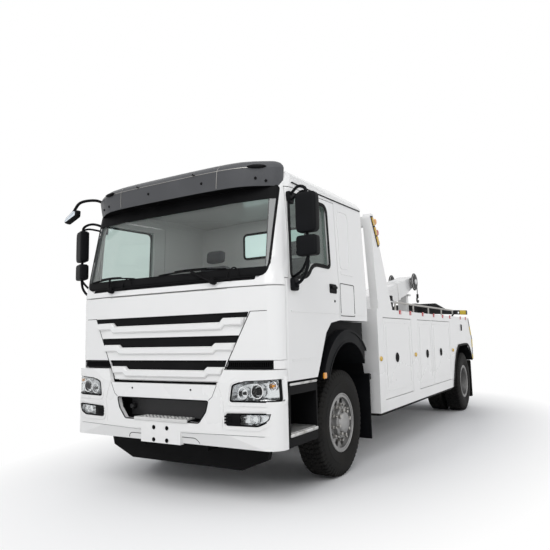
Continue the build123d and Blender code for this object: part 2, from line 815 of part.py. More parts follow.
# Two seats and the bunk behind them
seat_table = ((560, 500), (-560, 500))
with BuildPart() as seats:
    for x, width in seat_table:
        half = width / 2
        slab((x - half + 60, x + half - 60), (back(1130), back(1560)), (cab_rear_low + wall, 1760))
        side_prism(
            [(1020, 1760), (1020, 1900), (1480, 1880), (1560, 2560), (1680, 2560), (1600, 1760)],
            (x - half, x + half),
            radius=30,
        )
    slab(both_ways(1000), (back(1720), back(2090)), (cab_rear_low + wall, 2020))
save(seats, "seats")

# Side lockers: closed bodies with three doorways each, a wheel arch and a raked tail
rear_place = front_overhang + wheelbase
locker_outline = [
    (locker_front, locker_low), (rear_place - arch_reach_front, locker_low),
    (rear_place - arch_reach_front + 250, 980), (rear_place - 540, arch_high - 35), (rear_place - 340, arch_high),
    (rear_place + 260, arch_high), (rear_place + 510, arch_high - 135), (rear_place + arch_reach_rear, 920),
    (locker_tail, 920), (locker_tail, 1340), (locker_tail_top, locker_high), (locker_front, locker_high),
]
# columns: front edge, rear edge of each doorway
locker_doorways = ((2600, 3730), (4050, 4802), (4832, 6020))
rail_height = 1885
handrail_x = 1150
handrail_span = (3350, 6750)
handrail_posts = 5
handrail_radius = 12
handrail_post_half = 8
locker_hinge_radius = locker_door_thick / 2
locker_pin_radius = 8
locker_pin_half = 30
for side, hand in ((1, "left"), (-1, "right")):
    hinge_line_x = side * (locker_half - locker_hinge_radius)
    with BuildPart() as locker_body:
        side_prism(locker_outline, (side * locker_inner, side * locker_half))
        for front, rear in locker_doorways:
            slab(
                (side * (locker_inner + locker_wall), side * (locker_half + 50)),
                (back(front - panel_gap), back(rear + panel_gap)),
                (locker_door_low - panel_gap, locker_door_high + panel_gap),
                Mode.SUBTRACT,
            )
        slab(
            (side * (locker_inner - 50), side * (locker_half - locker_wall)),
            (back(rear_place - 480), back(locker_tail_top - 120)),
            (arch_high + locker_wall, locker_high - locker_wall),
            Mode.SUBTRACT,
        )
        bar_y(side * handrail_x, (back(handrail_span[0]), back(handrail_span[1])), rail_height, handrail_radius)
        for post in range(handrail_posts):
            spacing = (handrail_span[1] - handrail_span[0] - 80) / (handrail_posts - 1)
            place = handrail_span[0] + 40 + post * spacing
            slab(
                (side * (handrail_x - handrail_post_half), side * (handrail_x + handrail_post_half)),
                (back(place - handrail_post_half), back(place + handrail_post_half)),
                (locker_high - 5, rail_height),
            )
        for front, rear in locker_doorways:
            for end in (locker_door_low, locker_door_high):
                pin_z = (end - locker_pin_half, end + locker_pin_half)
                bar_z(hinge_line_x, back(front + locker_hinge_radius), pin_z, locker_pin_radius)
    save(locker_body, f"locker_body_{hand}")

    for number, (front, rear) in enumerate(locker_doorways, 1):
        hinge_line_y = back(front + locker_hinge_radius)
        with BuildPart() as locker_door:
            slab(
                (side * (locker_half - locker_door_thick), side * locker_half),
                (hinge_line_y, back(rear)),
                (locker_door_low, locker_door_high),
            )
            bar_z(hinge_line_x, hinge_line_y, (locker_door_low, locker_door_high), locker_hinge_radius)
            for end in (locker_door_low, locker_door_high):
                pin_z = (end - locker_pin_half - 2, end + locker_pin_half + 2)
                bar_z(hinge_line_x, hinge_line_y, pin_z, locker_pin_radius + running_gap, Mode.SUBTRACT)
        save(locker_door, f"locker_door_{hand}_{number}")

# Deck between the lockers, on bearers that stand on the chassis rails
bearer_places = (2520, 3600, 4650, 5700, 6700, 7480)
with BuildPart() as deck:
    slab(
        both_ways(locker_inner),
        (back(locker_front + 30), back(locker_tail_top)),
        (deck_high - deck_thick, deck_high),
    )
    for place in bearer_places:
        slab(
            both_ways(locker_inner),
            (back(place - 40), back(place + 40)),
            (rail_high, deck_high - deck_thick),
        )
    slab(both_ways(locker_inner), (back(locker_tail_top - 40), back(locker_tail_top)), (deck_high, 1640))
save(deck, "deck")

# Gantry: a raked portal on the lockers behind the cab
gantry_inner = 1130
gantry_outer = 1230
gantry_beam_low = 2780
gantry_outline = [(2350, 2880), (2380, 2930), (2460, 2930), (3030, locker_high), (2510, locker_high)]
with BuildPart() as gantry:
    for side in (1, -1):
        side_prism(gantry_outline, (side * gantry_inner, side * gantry_outer))
    slab(both_ways(gantry_outer), (back(2375), back(2470)), (gantry_beam_low, 2900))
save(gantry, "gantry")

# Lamps on the gantry and at the tail
# columns: distance back, height, radius of the round lamps on the gantry's rear edge
dome_table = ((2530, 2850, 36), (2590, 2720, 36))
with BuildPart() as warning_lamps:
    for side in (1, -1):
        side_prism(
            [(2372, 2890), (2430, 2900), (2640, 2570), (2585, 2540)],
            (side * gantry_outer, side * (gantry_outer + 18)),
        )
        for place, height, radius in dome_table:
            bar_x((side * gantry_outer, side * (gantry_outer + 12)), back(place), height, radius)
        slab(
            (side * 980, side * 1220),
            (back(locker_tail), back(locker_tail + 30)),
            (1000, 1130),
        )
save(warning_lamps, "warning_lamps")

# Boom mast: two cheeks with the boom pin, lugs for the lift cylinders, and the rest under the boom's head
boom_turn = radians(boom_rest_angle)
boom_along = Vector(0, cos(boom_turn), sin(boom_turn))
boom_up = Vector(0, -sin(boom_turn), cos(boom_turn))
boom_root = Vector(0, back(boom_pivot_back), boom_pivot_high)


def on_boom(x, along, up):
    """A point given along and square to the boom at rest."""
    point = boom_root + boom_along * along + boom_up * up
    return (x, point.Y, point.Z)


def boom_prism(points, x, mode=Mode.ADD, radius=0):
    """An outline on the boom's side, as (along, up), carried between two X values."""
    plane = Plane(origin=on_boom(min(x), 0, 0), x_dir=boom_along, z_dir=(1, 0, 0))
    prism(plane, points, abs(x[1] - x[0]), mode, radius)


mast_inner = boom_half + 15
mast_outer = mast_inner + mast_plate
lug_inner = (lift_x - 55, lift_x - 30)
lug_outer = (lift_x + 30, lift_x + 55)
rest_back = 7380
rest_half = 150
rest_high = on_boom(0, (rest_back - boom_pivot_back) / cos(boom_turn), -boom_depth_half)[2]
with BuildPart() as boom_mast:
    for side in (1, -1):
        side_prism(
            [
                (boom_pivot_back - 420, deck_high), (boom_pivot_back + 420, deck_high),
                (boom_pivot_back + 150, boom_pivot_high + 130), (boom_pivot_back - 150, boom_pivot_high + 130),
            ],
            (side * mast_inner, side * mast_outer),
        )
        for lug in (lug_inner, lug_outer):
            side_prism(
                [
                    (lift_base_back - 120, deck_high), (lift_base_back + 120, deck_high),
                    (lift_base_back + 60, lift_base_high + 60), (lift_base_back - 60, lift_base_high + 60),
                ],
                (side * lug[0], side * lug[1]),
            )
        bar_x((side * lug_inner[0], side * lug_outer[1]), back(lift_base_back), lift_base_high, lift_pin_radius)
    bar_x(both_ways(mast_outer + 20), back(boom_pivot_back), boom_pivot_high, boom_pin_radius)
    foot_y = (back(boom_pivot_back - 420), back(boom_pivot_back + 420))
    slab(both_ways(mast_outer), foot_y, (deck_high, deck_high + 20))
    side_prism(
        [
            (rest_back - 130, deck_high), (rest_back + 130, deck_high),
            (rest_back + 60, rest_high - 60), (rest_back - 60, rest_high - 60),
        ],
        both_ways(rest_half - 60),
    )
    slab(both_ways(rest_half), (back(rest_back - 70), back(rest_back + 70)), (rest_high - 60, rest_high - 24))
save(boom_mast, "boom_mast")

# Winches: two drums between flanges on a common bed, in front of the mast
winch_back = 3120
winch_high = 1420
# columns: low X, high X, radius
drum_table = (
    (-520, -500, 190), (-500, -60, 110), (-60, -40, 190), (40, 60, 190), (60, 500, 110), (500, 520, 190),
)
with BuildPart() as winches:
    slab(both_ways(540), (back(winch_back - 210), back(winch_back + 210)), (deck_high, deck_high + 30))
    for low, high, radius in drum_table:
        bar_x((low, high), back(winch_back), winch_high, radius)
    for x in (-530, -30, 20, 520):
        slab((x, x + 10), (back(winch_back - 120), back(winch_back + 120)), (deck_high + 20, winch_high))
    bar_x((-40, 40), back(winch_back), winch_high, 70)
save(winches, "winches")

# Boom: an outer box with a rounded root, and the sliding inner box with its head and sheaves
with BuildPart() as boom_outer:
    boom_prism(
        [
            (0, -boom_depth_half), (boom_outer_reach, -boom_depth_half),
            (boom_outer_reach, boom_depth_half), (0, boom_depth_half),
        ],
        both_ways(boom_half),
    )
    bar_x(both_ways(boom_half), back(boom_pivot_back), boom_pivot_high, boom_depth_half)
    boom_prism(
        [
            (420, boom_plate - boom_depth_half), (boom_outer_reach + 50, boom_plate - boom_depth_half),
            (boom_outer_reach + 50, boom_depth_half - boom_plate), (420, boom_depth_half - boom_plate),
        ],
        both_ways(boom_half - boom_plate),
        Mode.SUBTRACT,
    )
    pin_bore = boom_pin_radius + running_gap
    bar_x(both_ways(boom_half + 50), back(boom_pivot_back), boom_pivot_high, pin_bore, Mode.SUBTRACT)
    for side in (1, -1):
        eye = on_boom(0, lift_eye_reach, -lift_eye_drop)
        bar_x((side * (boom_half - boom_plate), side * (lift_x - 38)), eye[1], eye[2], lift_pin_radius)
save(boom_outer, "boom_outer")

inner_half = boom_half - boom_plate - boom_slide_gap
inner_depth = boom_depth_half - boom_plate - boom_slide_gap
inner_root = 430
head_root = boom_outer_reach + 120
sheave_centre = on_boom(0, sheave_reach, sheave_rise)
sheave_half = 18
with BuildPart() as boom_inner:
    boom_prism(
        [
            (inner_root, -inner_depth), (head_root + 300, -inner_depth), (boom_inner_reach, -20),
            (boom_inner_reach, inner_depth), (inner_root, inner_depth),
        ],
        both_ways(inner_half),
    )
    boom_prism(
        [
            (inner_root - 50, boom_plate - inner_depth), (head_root, boom_plate - inner_depth),
            (head_root, inner_depth - boom_plate), (inner_root - 50, inner_depth - boom_plate),
        ],
        both_ways(inner_half - boom_plate),
        Mode.SUBTRACT,
    )
    bar_x(both_ways(sheave_x + sheave_half + 20), sheave_centre[1], sheave_centre[2], 40)
    for side in (1, -1):
        side_x = (side * (sheave_x - sheave_half), side * (sheave_x + sheave_half))
        bar_x(side_x, sheave_centre[1], sheave_centre[2], sheave_radius)
save(boom_inner, "boom_inner")

# Hooks: the rope's turn round each sheave, its hanging end, the swivel and the hook
hang_y = sheave_centre[1] + sheave_radius + running_gap + rope_radius
hook_eye_drop = 250
with BuildPart() as hooks:
    for side in (1, -1):
        rope_x = (side * sheave_x - rope_radius, side * sheave_x + rope_radius)
        bar_x(rope_x, sheave_centre[1], sheave_centre[2], sheave_radius + running_gap + 2 * rope_radius)
        bar_x(rope_x, sheave_centre[1], sheave_centre[2], sheave_radius + running_gap, Mode.SUBTRACT)
    for side in (1, -1):
        drop = sheave_centre[2] - hook_eye_drop
        bar_z(side * sheave_x, hang_y, (drop, sheave_centre[2]), rope_radius)
        bar_z(side * sheave_x, hang_y, (drop - 70, drop), 24)
        bar_x((side * sheave_x - 13, side * sheave_x + 13), hang_y, drop - 120, 62)
        bar_x((side * sheave_x - 40, side * sheave_x + 40), hang_y, drop - 125, 34, Mode.SUBTRACT)
        slab(
            (side * sheave_x - 40, side * sheave_x + 40),
            (hang_y, hang_y + 80),
            (drop - 122, drop - 78),
            Mode.SUBTRACT,
        )
save(hooks, "hooks")

# Lift cylinders beside the boom: barrels on the mast's lugs, rods up to the boom's side pins
lift_base = Vector(0, back(lift_base_back), lift_base_high)
lift_eye = Vector(*on_boom(0, lift_eye_reach, -lift_eye_drop))
lift_run = lift_eye - lift_base
lift_unit = lift_run.normalized()
with BuildPart() as lift_barrels:
    for side in (1, -1):
        across = Vector(side * lift_x, 0, 0)
        barrel_end = lift_base + across + lift_unit * lift_barrel_length
        strut(tuple(lift_base + across), tuple(barrel_end), lift_barrel_radius)
        strut(
            tuple(lift_base + across + lift_unit * 90),
            tuple(lift_base + across + lift_unit * (lift_barrel_length + 10)),
            lift_rod_radius + running_gap,
            Mode.SUBTRACT,
        )
        slab(
            (side * (lift_x - 80), side * (lift_x - 27)),
            (back(lift_base_back - 90), back(lift_base_back + 90)),
            (lift_base_high - 90, lift_base_high + 75),
            Mode.SUBTRACT,
        )
        slab(
            (side * (lift_x + 27), side * (lift_x + 80)),
            (back(lift_base_back - 90), back(lift_base_back + 90)),
            (lift_base_high - 90, lift_base_high + 75),
            Mode.SUBTRACT,
        )
        eye_x = (side * (lift_x - 27), side * (lift_x + 27))
        bar_x(eye_x, lift_base.Y, lift_base.Z, lift_barrel_radius + 5)
        bar_x((side * 200, side * 400), lift_base.Y, lift_base.Z, lift_pin_radius + running_gap, Mode.SUBTRACT)
save(lift_barrels, "lift_barrels")

with BuildPart() as lift_rods:
    for side in (1, -1):
        across = Vector(side * lift_x, 0, 0)
        strut(tuple(lift_base + across + lift_unit * 110), tuple(lift_eye + across), lift_rod_radius)
        eye_x = (side * (lift_x - 27), side * (lift_x + 27))
        bar_x(eye_x, lift_eye.Y, lift_eye.Z, lift_barrel_radius)
        bar_x((side * 200, side * 400), lift_eye.Y, lift_eye.Z, lift_pin_radius + running_gap, Mode.SUBTRACT)
save(lift_rods, "lift_rods")

# Underlift: a folded arm, its sliding inner bar with the swivel pin, and the crossbar
arm_y = (back(lift_arm_pivot_back - lift_arm_half), back(lift_arm_pivot_back + lift_arm_half))
bar_half = lift_arm_half - lift_arm_wall - lift_slide_gap
bar_face = back(lift_arm_pivot_back + bar_half)
crossbar_front = lift_arm_pivot_back + lift_arm_half + 5
crossbar_y = (back(crossbar_front), back(crossbar_front + crossbar_depth))
hollow_half = lift_arm_half - lift_arm_wall
with BuildPart() as underlift_arm:
    slab(both_ways(lift_arm_half), arm_y, (lift_arm_pivot_high, lift_arm_top))
    bar_x(both_ways(lift_arm_half), back(lift_arm_pivot_back), lift_arm_pivot_high, lift_arm_half)
    slab(
        both_ways(hollow_half),
        (back(lift_arm_pivot_back - hollow_half), back(lift_arm_pivot_back + hollow_half)),
        (1000, lift_arm_top + 50),
        Mode.SUBTRACT,
    )
    fold_bore = fold_pin_radius + running_gap
    bar_x(both_ways(300), back(lift_arm_pivot_back), lift_arm_pivot_high, fold_bore, Mode.SUBTRACT)
save(underlift_arm, "underlift_arm")

with BuildPart() as underlift_bar:
    slab(
        both_ways(bar_half),
        (back(lift_arm_pivot_back - bar_half), back(lift_arm_pivot_back + bar_half)),
        (1006, lift_head_top),
    )
    bar_y(0, (bar_face - 10, crossbar_y[1]), crossbar_pivot_high, crossbar_pin_radius)
save(underlift_bar, "underlift_bar")

with BuildPart() as crossbar:
    rise = crossbar_pivot_high
    front_prism(
        [
            (-crossbar_half, rise - 150), (-crossbar_half, rise - 60), (-700, rise - 35), (-450, rise + 125),
            (450, rise + 125), (700, rise - 35), (crossbar_half, rise - 60), (crossbar_half, rise - 150),
            (450, rise - 110), (-450, rise - 110),
        ],
        (crossbar_y[0] - back(0), crossbar_y[1] - back(0)),
    )
    bar_y(0, crossbar_y, rise, crossbar_pin_radius + running_gap, Mode.SUBTRACT)
    for side in (1, -1):
        bar_y(side * fork_bore_x, crossbar_y, rise - 100, fork_bore_radius, Mode.SUBTRACT)
save(crossbar, "crossbar")

# Knuckles: a fork about each beam eye, the kingpin, the stub axle and the steering arm
arm_end_x = kingpin_x
arm_end_y = front_axle_y + steer_arm_back
arm_z = axle_z - beam_eye_half - knuckle_gap
for side, hand in ((1, "left"), (-1, "right")):
    with BuildPart() as knuckle:
        pin_x = side * kingpin_x
        fork_low = (arm_z - 40, arm_z)
        fork_high = (axle_z + beam_eye_half + knuckle_gap, axle_z + beam_eye_half + knuckle_gap + 40)
        bar_z(pin_x, front_axle_y, (fork_low[0], fork_high[1]), kingpin_radius)
        for low, high in (fork_low, fork_high):
            bar_z(pin_x, front_axle_y, (low, high), beam_eye_radius)
            slab((pin_x, pin_x + side * 100), (front_axle_y - 50, front_axle_y + 50), (low, high))
        web_x = (pin_x + side * 66, pin_x + side * 100)
        slab(web_x, (front_axle_y - 50, front_axle_y + 50), (fork_low[0], fork_high[1]))
        bar_x(
            (pin_x + side * 70, side * (front_track_half + 110)),
            front_axle_y,
            axle_z,
            hub_bore - spindle_clearance,
        )
        with BuildSketch(Plane.XY.offset(fork_low[0])) as arm_plan:
            with BuildLine():
                Polyline(
                    (pin_x - side * 45, front_axle_y), (pin_x + side * 30, front_axle_y),
                    (side * arm_end_x + side * 30, arm_end_y), (side * arm_end_x - side * 30, arm_end_y),
                    close=True,
                )
            make_face()
        extrude(to_extrude=arm_plan.sketch, amount=40)
        bar_z(side * arm_end_x, arm_end_y, fork_low, 34)
        bar_z(side * arm_end_x, arm_end_y, (fork_low[0] - 60, fork_low[0]), 14)
    save(knuckle, f"knuckle_{hand}")

# Tie rod under the two steering arms
tie_z = arm_z - 40 - 34
with BuildPart() as tie_rod:
    bar_x(both_ways(arm_end_x), arm_end_y, tie_z, tie_rod_radius)
    for side in (1, -1):
        bar_z(side * arm_end_x, arm_end_y, (tie_z - 24, tie_z + 24), 30)
        bar_z(side * arm_end_x, arm_end_y, (tie_z - 40, tie_z + 60), 14 + running_gap, Mode.SUBTRACT)
save(tie_rod, "tie_rod")


def ring_of(points, x, y):
    """A profile, as (offset along the axle, radius), spun about a wheel's axis."""
    plane = Plane(origin=(x, y, tyre_radius), x_dir=(1, 0, 0), z_dir=(0, -1, 0))
    with BuildSketch(plane) as outline:
        with BuildLine():
            Polyline(*points, close=True)
        make_face()
    revolve(profiles=outline.sketch, axis=Axis((x, y, tyre_radius), (1, 0, 0)))


tyre_profile = [
    (-bead_half, bead_radius), (-tyre_width / 2, shoulder_radius), (-tread_half, tyre_radius),
    (tread_half, tyre_radius), (tyre_width / 2, shoulder_radius), (bead_half, bead_radius),
]

rim_inner = bead_radius - rim_wall - 18
single_disc = 95
dual_offset = (dual_outer_x - dual_inner_x) / 2
dual_middle = (dual_outer_x + dual_inner_x) / 2
single_rim = [
    (-bead_half, bead_radius), (bead_half, bead_radius), (bead_half, rim_inner), (single_disc, rim_inner),
    (single_disc, hub_radius - 20), (single_disc - rim_wall, hub_radius - 20), (single_disc - rim_wall, rim_inner),
    (-bead_half, rim_inner),
]
dual_rim = [
    (-dual_offset - bead_half, bead_radius), (bead_half - dual_offset, bead_radius),
    (bead_half - dual_offset, bead_radius - 18), (dual_offset - bead_half, bead_radius - 18),
    (dual_offset - bead_half, bead_radius), (dual_offset + bead_half, bead_radius),
    (dual_offset + bead_half, rim_inner), (rim_wall, rim_inner), (rim_wall, hub_radius - 20),
    (-rim_wall, hub_radius - 20), (-rim_wall, rim_inner), (-dual_offset - bead_half, rim_inner),
]

# Wheels: each body has its tyres and its rim, one tyre in front and a pair behind
# columns: name, side, tyre places across, axle Y, rim section, rim's middle, hub from and to
wheel_table = (
    ("front_left", 1, (front_track_half,), front_axle_y, single_rim, front_track_half, 985, 1160),
    ("front_right", -1, (front_track_half,), front_axle_y, single_rim, front_track_half, 985, 1160),
    ("rear_left", 1, (dual_inner_x, dual_outer_x), rear_axle_y, dual_rim, dual_middle, 700, 1085),
    ("rear_right", -1, (dual_inner_x, dual_outer_x), rear_axle_y, dual_rim, dual_middle, 700, 1085),
)
for name, side, places, y, section, middle, hub_from, hub_to in wheel_table:
    with BuildPart() as tyres:
        for place in places:
            ring_of(tyre_profile, side * place, y)
    save(tyres, f"tyre_{name}")

    with BuildPart() as rim:
        ring_of([(side * x, radius) for x, radius in section], side * middle, y)
        for spoke in range(hand_hole_count):
            angle = radians(360 * spoke / hand_hole_count)
            bar_x(
                (side * (middle - 140), side * (middle + 140)),
                y + hand_hole_ring * cos(angle),
                tyre_radius + hand_hole_ring * sin(angle),
                hand_hole_radius,
                Mode.SUBTRACT,
            )
        bar_x((side * hub_from, side * hub_to), y, tyre_radius, hub_radius)
        bar_x((side * (hub_from - 50), side * (hub_to - 20)), y, tyre_radius, hub_bore, Mode.SUBTRACT)
    save(rim, f"rim_{name}")
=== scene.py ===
import json
from math import cos, pi, radians, sin

import bmesh
import bpy
import numpy as np
from mathutils import Matrix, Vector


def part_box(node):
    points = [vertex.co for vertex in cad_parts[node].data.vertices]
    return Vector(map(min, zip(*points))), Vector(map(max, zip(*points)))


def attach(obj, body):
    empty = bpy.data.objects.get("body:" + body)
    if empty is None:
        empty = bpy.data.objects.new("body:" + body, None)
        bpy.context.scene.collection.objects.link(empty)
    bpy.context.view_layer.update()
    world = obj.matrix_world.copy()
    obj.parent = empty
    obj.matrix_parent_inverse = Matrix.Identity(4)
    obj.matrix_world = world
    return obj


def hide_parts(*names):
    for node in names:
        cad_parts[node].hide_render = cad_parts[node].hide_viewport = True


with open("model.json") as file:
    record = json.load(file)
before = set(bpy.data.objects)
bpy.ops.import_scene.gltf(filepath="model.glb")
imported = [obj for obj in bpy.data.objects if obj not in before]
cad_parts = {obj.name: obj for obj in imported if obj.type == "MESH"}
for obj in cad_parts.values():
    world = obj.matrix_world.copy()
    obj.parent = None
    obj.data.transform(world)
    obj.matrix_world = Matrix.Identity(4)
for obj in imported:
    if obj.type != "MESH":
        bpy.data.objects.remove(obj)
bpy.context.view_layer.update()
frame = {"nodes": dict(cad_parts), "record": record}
scene = bpy.context.scene

# Driving sizes, metres, as the part's source has them
HALF_LENGTH = 4.15
AXLE_FRONT = 1.49 - HALF_LENGTH
AXLE_REAR = 7.09 - HALF_LENGTH
TYRE_R = 0.5425
CAB_HALF = 1.245
LOCKER_HALF = 1.25
SIDES = ((1, "left"), (-1, "right"))
FORWARDS, UPWARDS = (0, -1, 0), (0, 0, 1)


def at(distance):
    """Y of a place measured backwards from the bumper's face."""
    return distance - HALF_LENGTH


# Shader wiring
LENS_RIBS, THREADS, GRILLE_HOLES, TREAD_LUGS = 520, 1500, 330, 130


class Wire:
    """One output of a shader node. Python's operators on it add Math nodes."""

    def __init__(self, tree, socket):
        self.tree = tree
        self.socket = socket

    def node(self, kind, settings, sockets, out=0):
        """Any other node: its settings are set first, then the values or links of its sockets."""
        made = self.tree.nodes.new(kind)
        for key, value in settings.items():
            setattr(made, key, value)
        for key, value in sockets.items():
            if isinstance(value, Wire):
                self.tree.links.new(value.socket, made.inputs[key])
            else:
                made.inputs[key].default_value = value
        return Wire(self.tree, made.outputs[out])

    def maths(self, operation, *values, clamp=False):
        settings = {"operation": operation, "use_clamp": clamp}
        return self.node("ShaderNodeMath", settings, dict(enumerate(values)))

    def __add__(self, other):
        return self.maths("ADD", self, other)

    def __sub__(self, other):
        return self.maths("SUBTRACT", self, other)

    def __rsub__(self, other):
        return self.maths("SUBTRACT", other, self)

    def __mul__(self, other):
        return self.maths("MULTIPLY", self, other)

    def __truediv__(self, other):
        return self.maths("DIVIDE", self, other)

    def __pow__(self, other):
        return self.maths("POWER", self, other)

    __radd__ = __add__
    __rmul__ = __mul__

    def clipped(self):
        return self.maths("ADD", self, 0.0, clamp=True)

    def above(self, edge, soft):
        """0 below the edge and 1 past it, over a soft width."""
        return ((self - edge) / soft).clipped()

    def sine(self):
        return self.maths("SINE", self)

    def split(self):
        parts = self.node("ShaderNodeSeparateXYZ", {}, {0: self})
        return [Wire(self.tree, socket) for socket in parts.socket.node.outputs]

    def noise(self, scale, detail):
        sockets = {"Vector": self, "Scale": scale, "Detail": detail}
        return self.node("ShaderNodeTexNoise", {}, sockets)

    def mix(self, low, high):
        """A colour between two, by this value."""
        sockets = {0: self, 6: (*low, 1) if isinstance(low, tuple) else low,
                   7: (*high, 1) if isinstance(high, tuple) else high}
        return self.node("ShaderNodeMix", {"data_type": "RGBA"}, sockets, out=2)

    def stretched(self, scale):
        """The same place with its axes scaled, so that a pattern runs along one of them."""
        return self.node("ShaderNodeMapping", {}, {"Vector": self, "Scale": scale})


own_slot, slot_finish = {}, {}


def finish(name, slot, recipe, bump=0.002, **fixed):
    """A material: the recipe gives what varies by socket, and the fixed values go straight on the shader. Its record
    slot is kept, and the first finish of a slot is the one for CAD nodes."""
    material = bpy.data.materials.new(name)
    own_slot[material.name] = slot
    slot_finish.setdefault(slot, material)
    material.use_nodes = True
    tree = material.node_tree
    shader = tree.nodes["Principled BSDF"]
    for socket, value in fixed.items():
        shader.inputs[socket.replace("_", " ")].default_value = value
    place = Wire(tree, tree.nodes.new("ShaderNodeTexCoord").outputs["Object"])
    for socket, wire in recipe(place).items():
        if socket == "Height":
            wire = wire.node("ShaderNodeBump", {}, {"Height": wire, "Distance": bump, "Strength": 0.7})
            socket = "Normal"
        tree.links.new(wire.socket, shader.inputs[socket])
    return material


def enamel(place):
    """White enamel: faint unevenness, orange peel, and road film that thins out upwards."""
    broad = place.noise(1.7, 4)
    z = place.split()[2]
    film = (1 - z.above(0.3, 0.9)) * broad.above(0.25, 0.6)
    return {
        "Base Color": (film * 0.22).mix((0.815, 0.812, 0.80), (0.60, 0.59, 0.56)),
        "Roughness": 0.22 + film * 0.3 + broad * 0.06,
        "Height": place.noise(160, 1),
    }


def grained(dark, light, scale=420.0, low=0.45):
    """Moulded plastic or paint: a fine grain, broad dust and a rough sheen."""

    def recipe(place):
        grain = place.noise(scale, 2)
        dust = place.noise(2.3, 3).above(0.45, 0.4)
        return {
            "Base Color": (dust * 0.55 + grain * 0.25).mix(dark, light),
            "Roughness": low + dust * 0.2 + grain * 0.1,
            "Height": grain,
        }

    return recipe


def metal(dark, light, low=0.25):
    """Bare or painted metal: brushed streaks and worn patches."""

    def recipe(place):
        streak = place.stretched((1, 14, 14)).noise(35, 3)
        worn = place.noise(7, 5).above(0.5, 0.2)
        return {
            "Base Color": (streak * 0.6 + worn * 0.4).mix(dark, light),
            "Roughness": low + streak * 0.2 + worn * 0.12,
            "Height": streak,
        }

    return recipe


def rubber(place):
    """Tyre rubber: near black, dusted where the tread meets the road."""
    dust = place.noise(5, 5).above(0.42, 0.3)
    fine = place.noise(260, 2)
    return {
        "Base Color": (dust * 0.5 + fine * 0.2).mix((0.006, 0.006, 0.006), (0.032, 0.030, 0.027)),
        "Roughness": 0.68 + dust * 0.2,
        "Height": fine,
    }


def treadplate(place):
    """Aluminium tread plate: raised ovals in crossed rows."""
    x, y, z = place.split()
    along = (x * TREAD_LUGS).sine() * (y * TREAD_LUGS).sine()
    lug = along.above(0.35, 0.3)
    grime = place.noise(9, 4).above(0.5, 0.25)
    return {
        "Base Color": grime.mix((0.62, 0.62, 0.61), (0.30, 0.29, 0.27)),
        "Roughness": 0.32 + grime * 0.3,
        "Height": lug,
    }


def mesh_grille(place):
    """Black grille mesh: a moulded net whose small holes are painted darker, as painted shade seen through them."""
    x, y, z = place.split()
    # the holes are only drawn: their darker colour is painted shade
    hole = ((x * GRILLE_HOLES).sine() * (z * GRILLE_HOLES).sine()).above(0.0, 0.5)
    return {
        "Base Color": hole.mix((0.022, 0.022, 0.024), (0.004, 0.004, 0.004)),
        "Roughness": 0.4 + hole * 0.35,
        "Height": 1 - hole,
    }


def lens(clear, deep):
    """Lamp lens: fine vertical ribs and a slightly uneven tint."""

    def recipe(place):
        x, y, z = place.split()
        rib = ((x + y) * LENS_RIBS).sine() * 0.5 + 0.5
        cloud = place.noise(14, 3)
        return {
            "Base Color": (cloud * 0.6 + rib * 0.2).mix(clear, deep),
            "Roughness": 0.08 + cloud * 0.1,
            "Height": rib,
        }

    return recipe


def woven(dark, light):
    """Seat cloth: crossed threads and soft shading of the nap."""

    def recipe(place):
        x, y, z = place.split()
        thread = ((x * THREADS).sine() * ((y + z) * THREADS).sine()) * 0.5 + 0.5
        nap = place.noise(24, 4)
        return {
            "Base Color": (thread * 0.4 + nap * 0.6).mix(dark, light),
            "Roughness": 0.8 + nap * 0.15,
            "Height": thread,
        }

    return recipe


def tinted(clear, deep):
    """Glass: a faint tint that deepens in soft patches."""

    def recipe(place):
        cloud = place.noise(1.1, 2)
        return {"Base Color": cloud.mix(clear, deep), "Roughness": cloud * 0.03}

    return recipe


ENAMEL = finish("white_enamel", "white_paint", enamel, 0.00012, Coat_Weight=0.35, Coat_Roughness=0.08)
BLACK_STEEL = finish("black_steel", "black_steel", grained((0.008, 0.008, 0.009), (0.034, 0.033, 0.032), 90, 0.4),
                     0.0004, Specular_IOR_Level=0.25)
finish("cast_grey", "cast_grey", metal((0.10, 0.10, 0.10), (0.22, 0.215, 0.21), 0.45), 0.0005, Metallic=0.3)
BLACK_PLASTIC = finish("black_plastic", "black_plastic", grained((0.005, 0.005, 0.0055), (0.015, 0.015, 0.0155)),
                       0.0002, Specular_IOR_Level=0.05)
SLATE = finish("slate_plastic", "black_plastic", grained((0.004, 0.0043, 0.005), (0.010, 0.0108, 0.0125)),
               0.0002, Specular_IOR_Level=0.08)
GREY_PLASTIC = finish("grey_plastic", "grey_plastic", grained((0.045, 0.0465, 0.051), (0.094, 0.097, 0.103)), 0.0002)
CABIN_TRIM = finish("cabin_trim", "trim_plastic", grained((0.05, 0.052, 0.055), (0.10, 0.102, 0.105), 300, 0.6),
                    0.0002)
SEAT_CLOTH = finish("seat_cloth", "seat_fabric", woven((0.035, 0.037, 0.042), (0.09, 0.092, 0.10)), 0.0004,
                    Sheen_Weight=0.3)
TREADPLATE = finish("tread_plate", "deck_plate", treadplate, 0.0025, Metallic=0.75)
ALUMINIUM = finish("aluminium", "deck_plate", metal((0.58, 0.58, 0.57), (0.78, 0.78, 0.77), 0.4), 0.0004, Metallic=0.5)
RUBBER = finish("tyre_rubber", "tyre", rubber, 0.0004, Specular_IOR_Level=0.11)
WHEEL_STEEL = finish("wheel_steel", "wheel_steel", metal((0.22, 0.218, 0.215), (0.42, 0.415, 0.41), 0.35), 0.0004,
                     Metallic=0.7)
ZINC = finish("zinc_hardware", "", metal((0.30, 0.29, 0.27), (0.52, 0.51, 0.49), 0.3), 0.0003, Metallic=0.85)
finish("rod_chrome", "rod_chrome", metal((0.62, 0.63, 0.64), (0.78, 0.78, 0.79), 0.1), 0.0001, Metallic=1.0)
CHROME = finish("chrome", "rod_chrome", metal((0.72, 0.73, 0.74), (0.86, 0.86, 0.87), 0.06), 0.0001, Metallic=1.0)
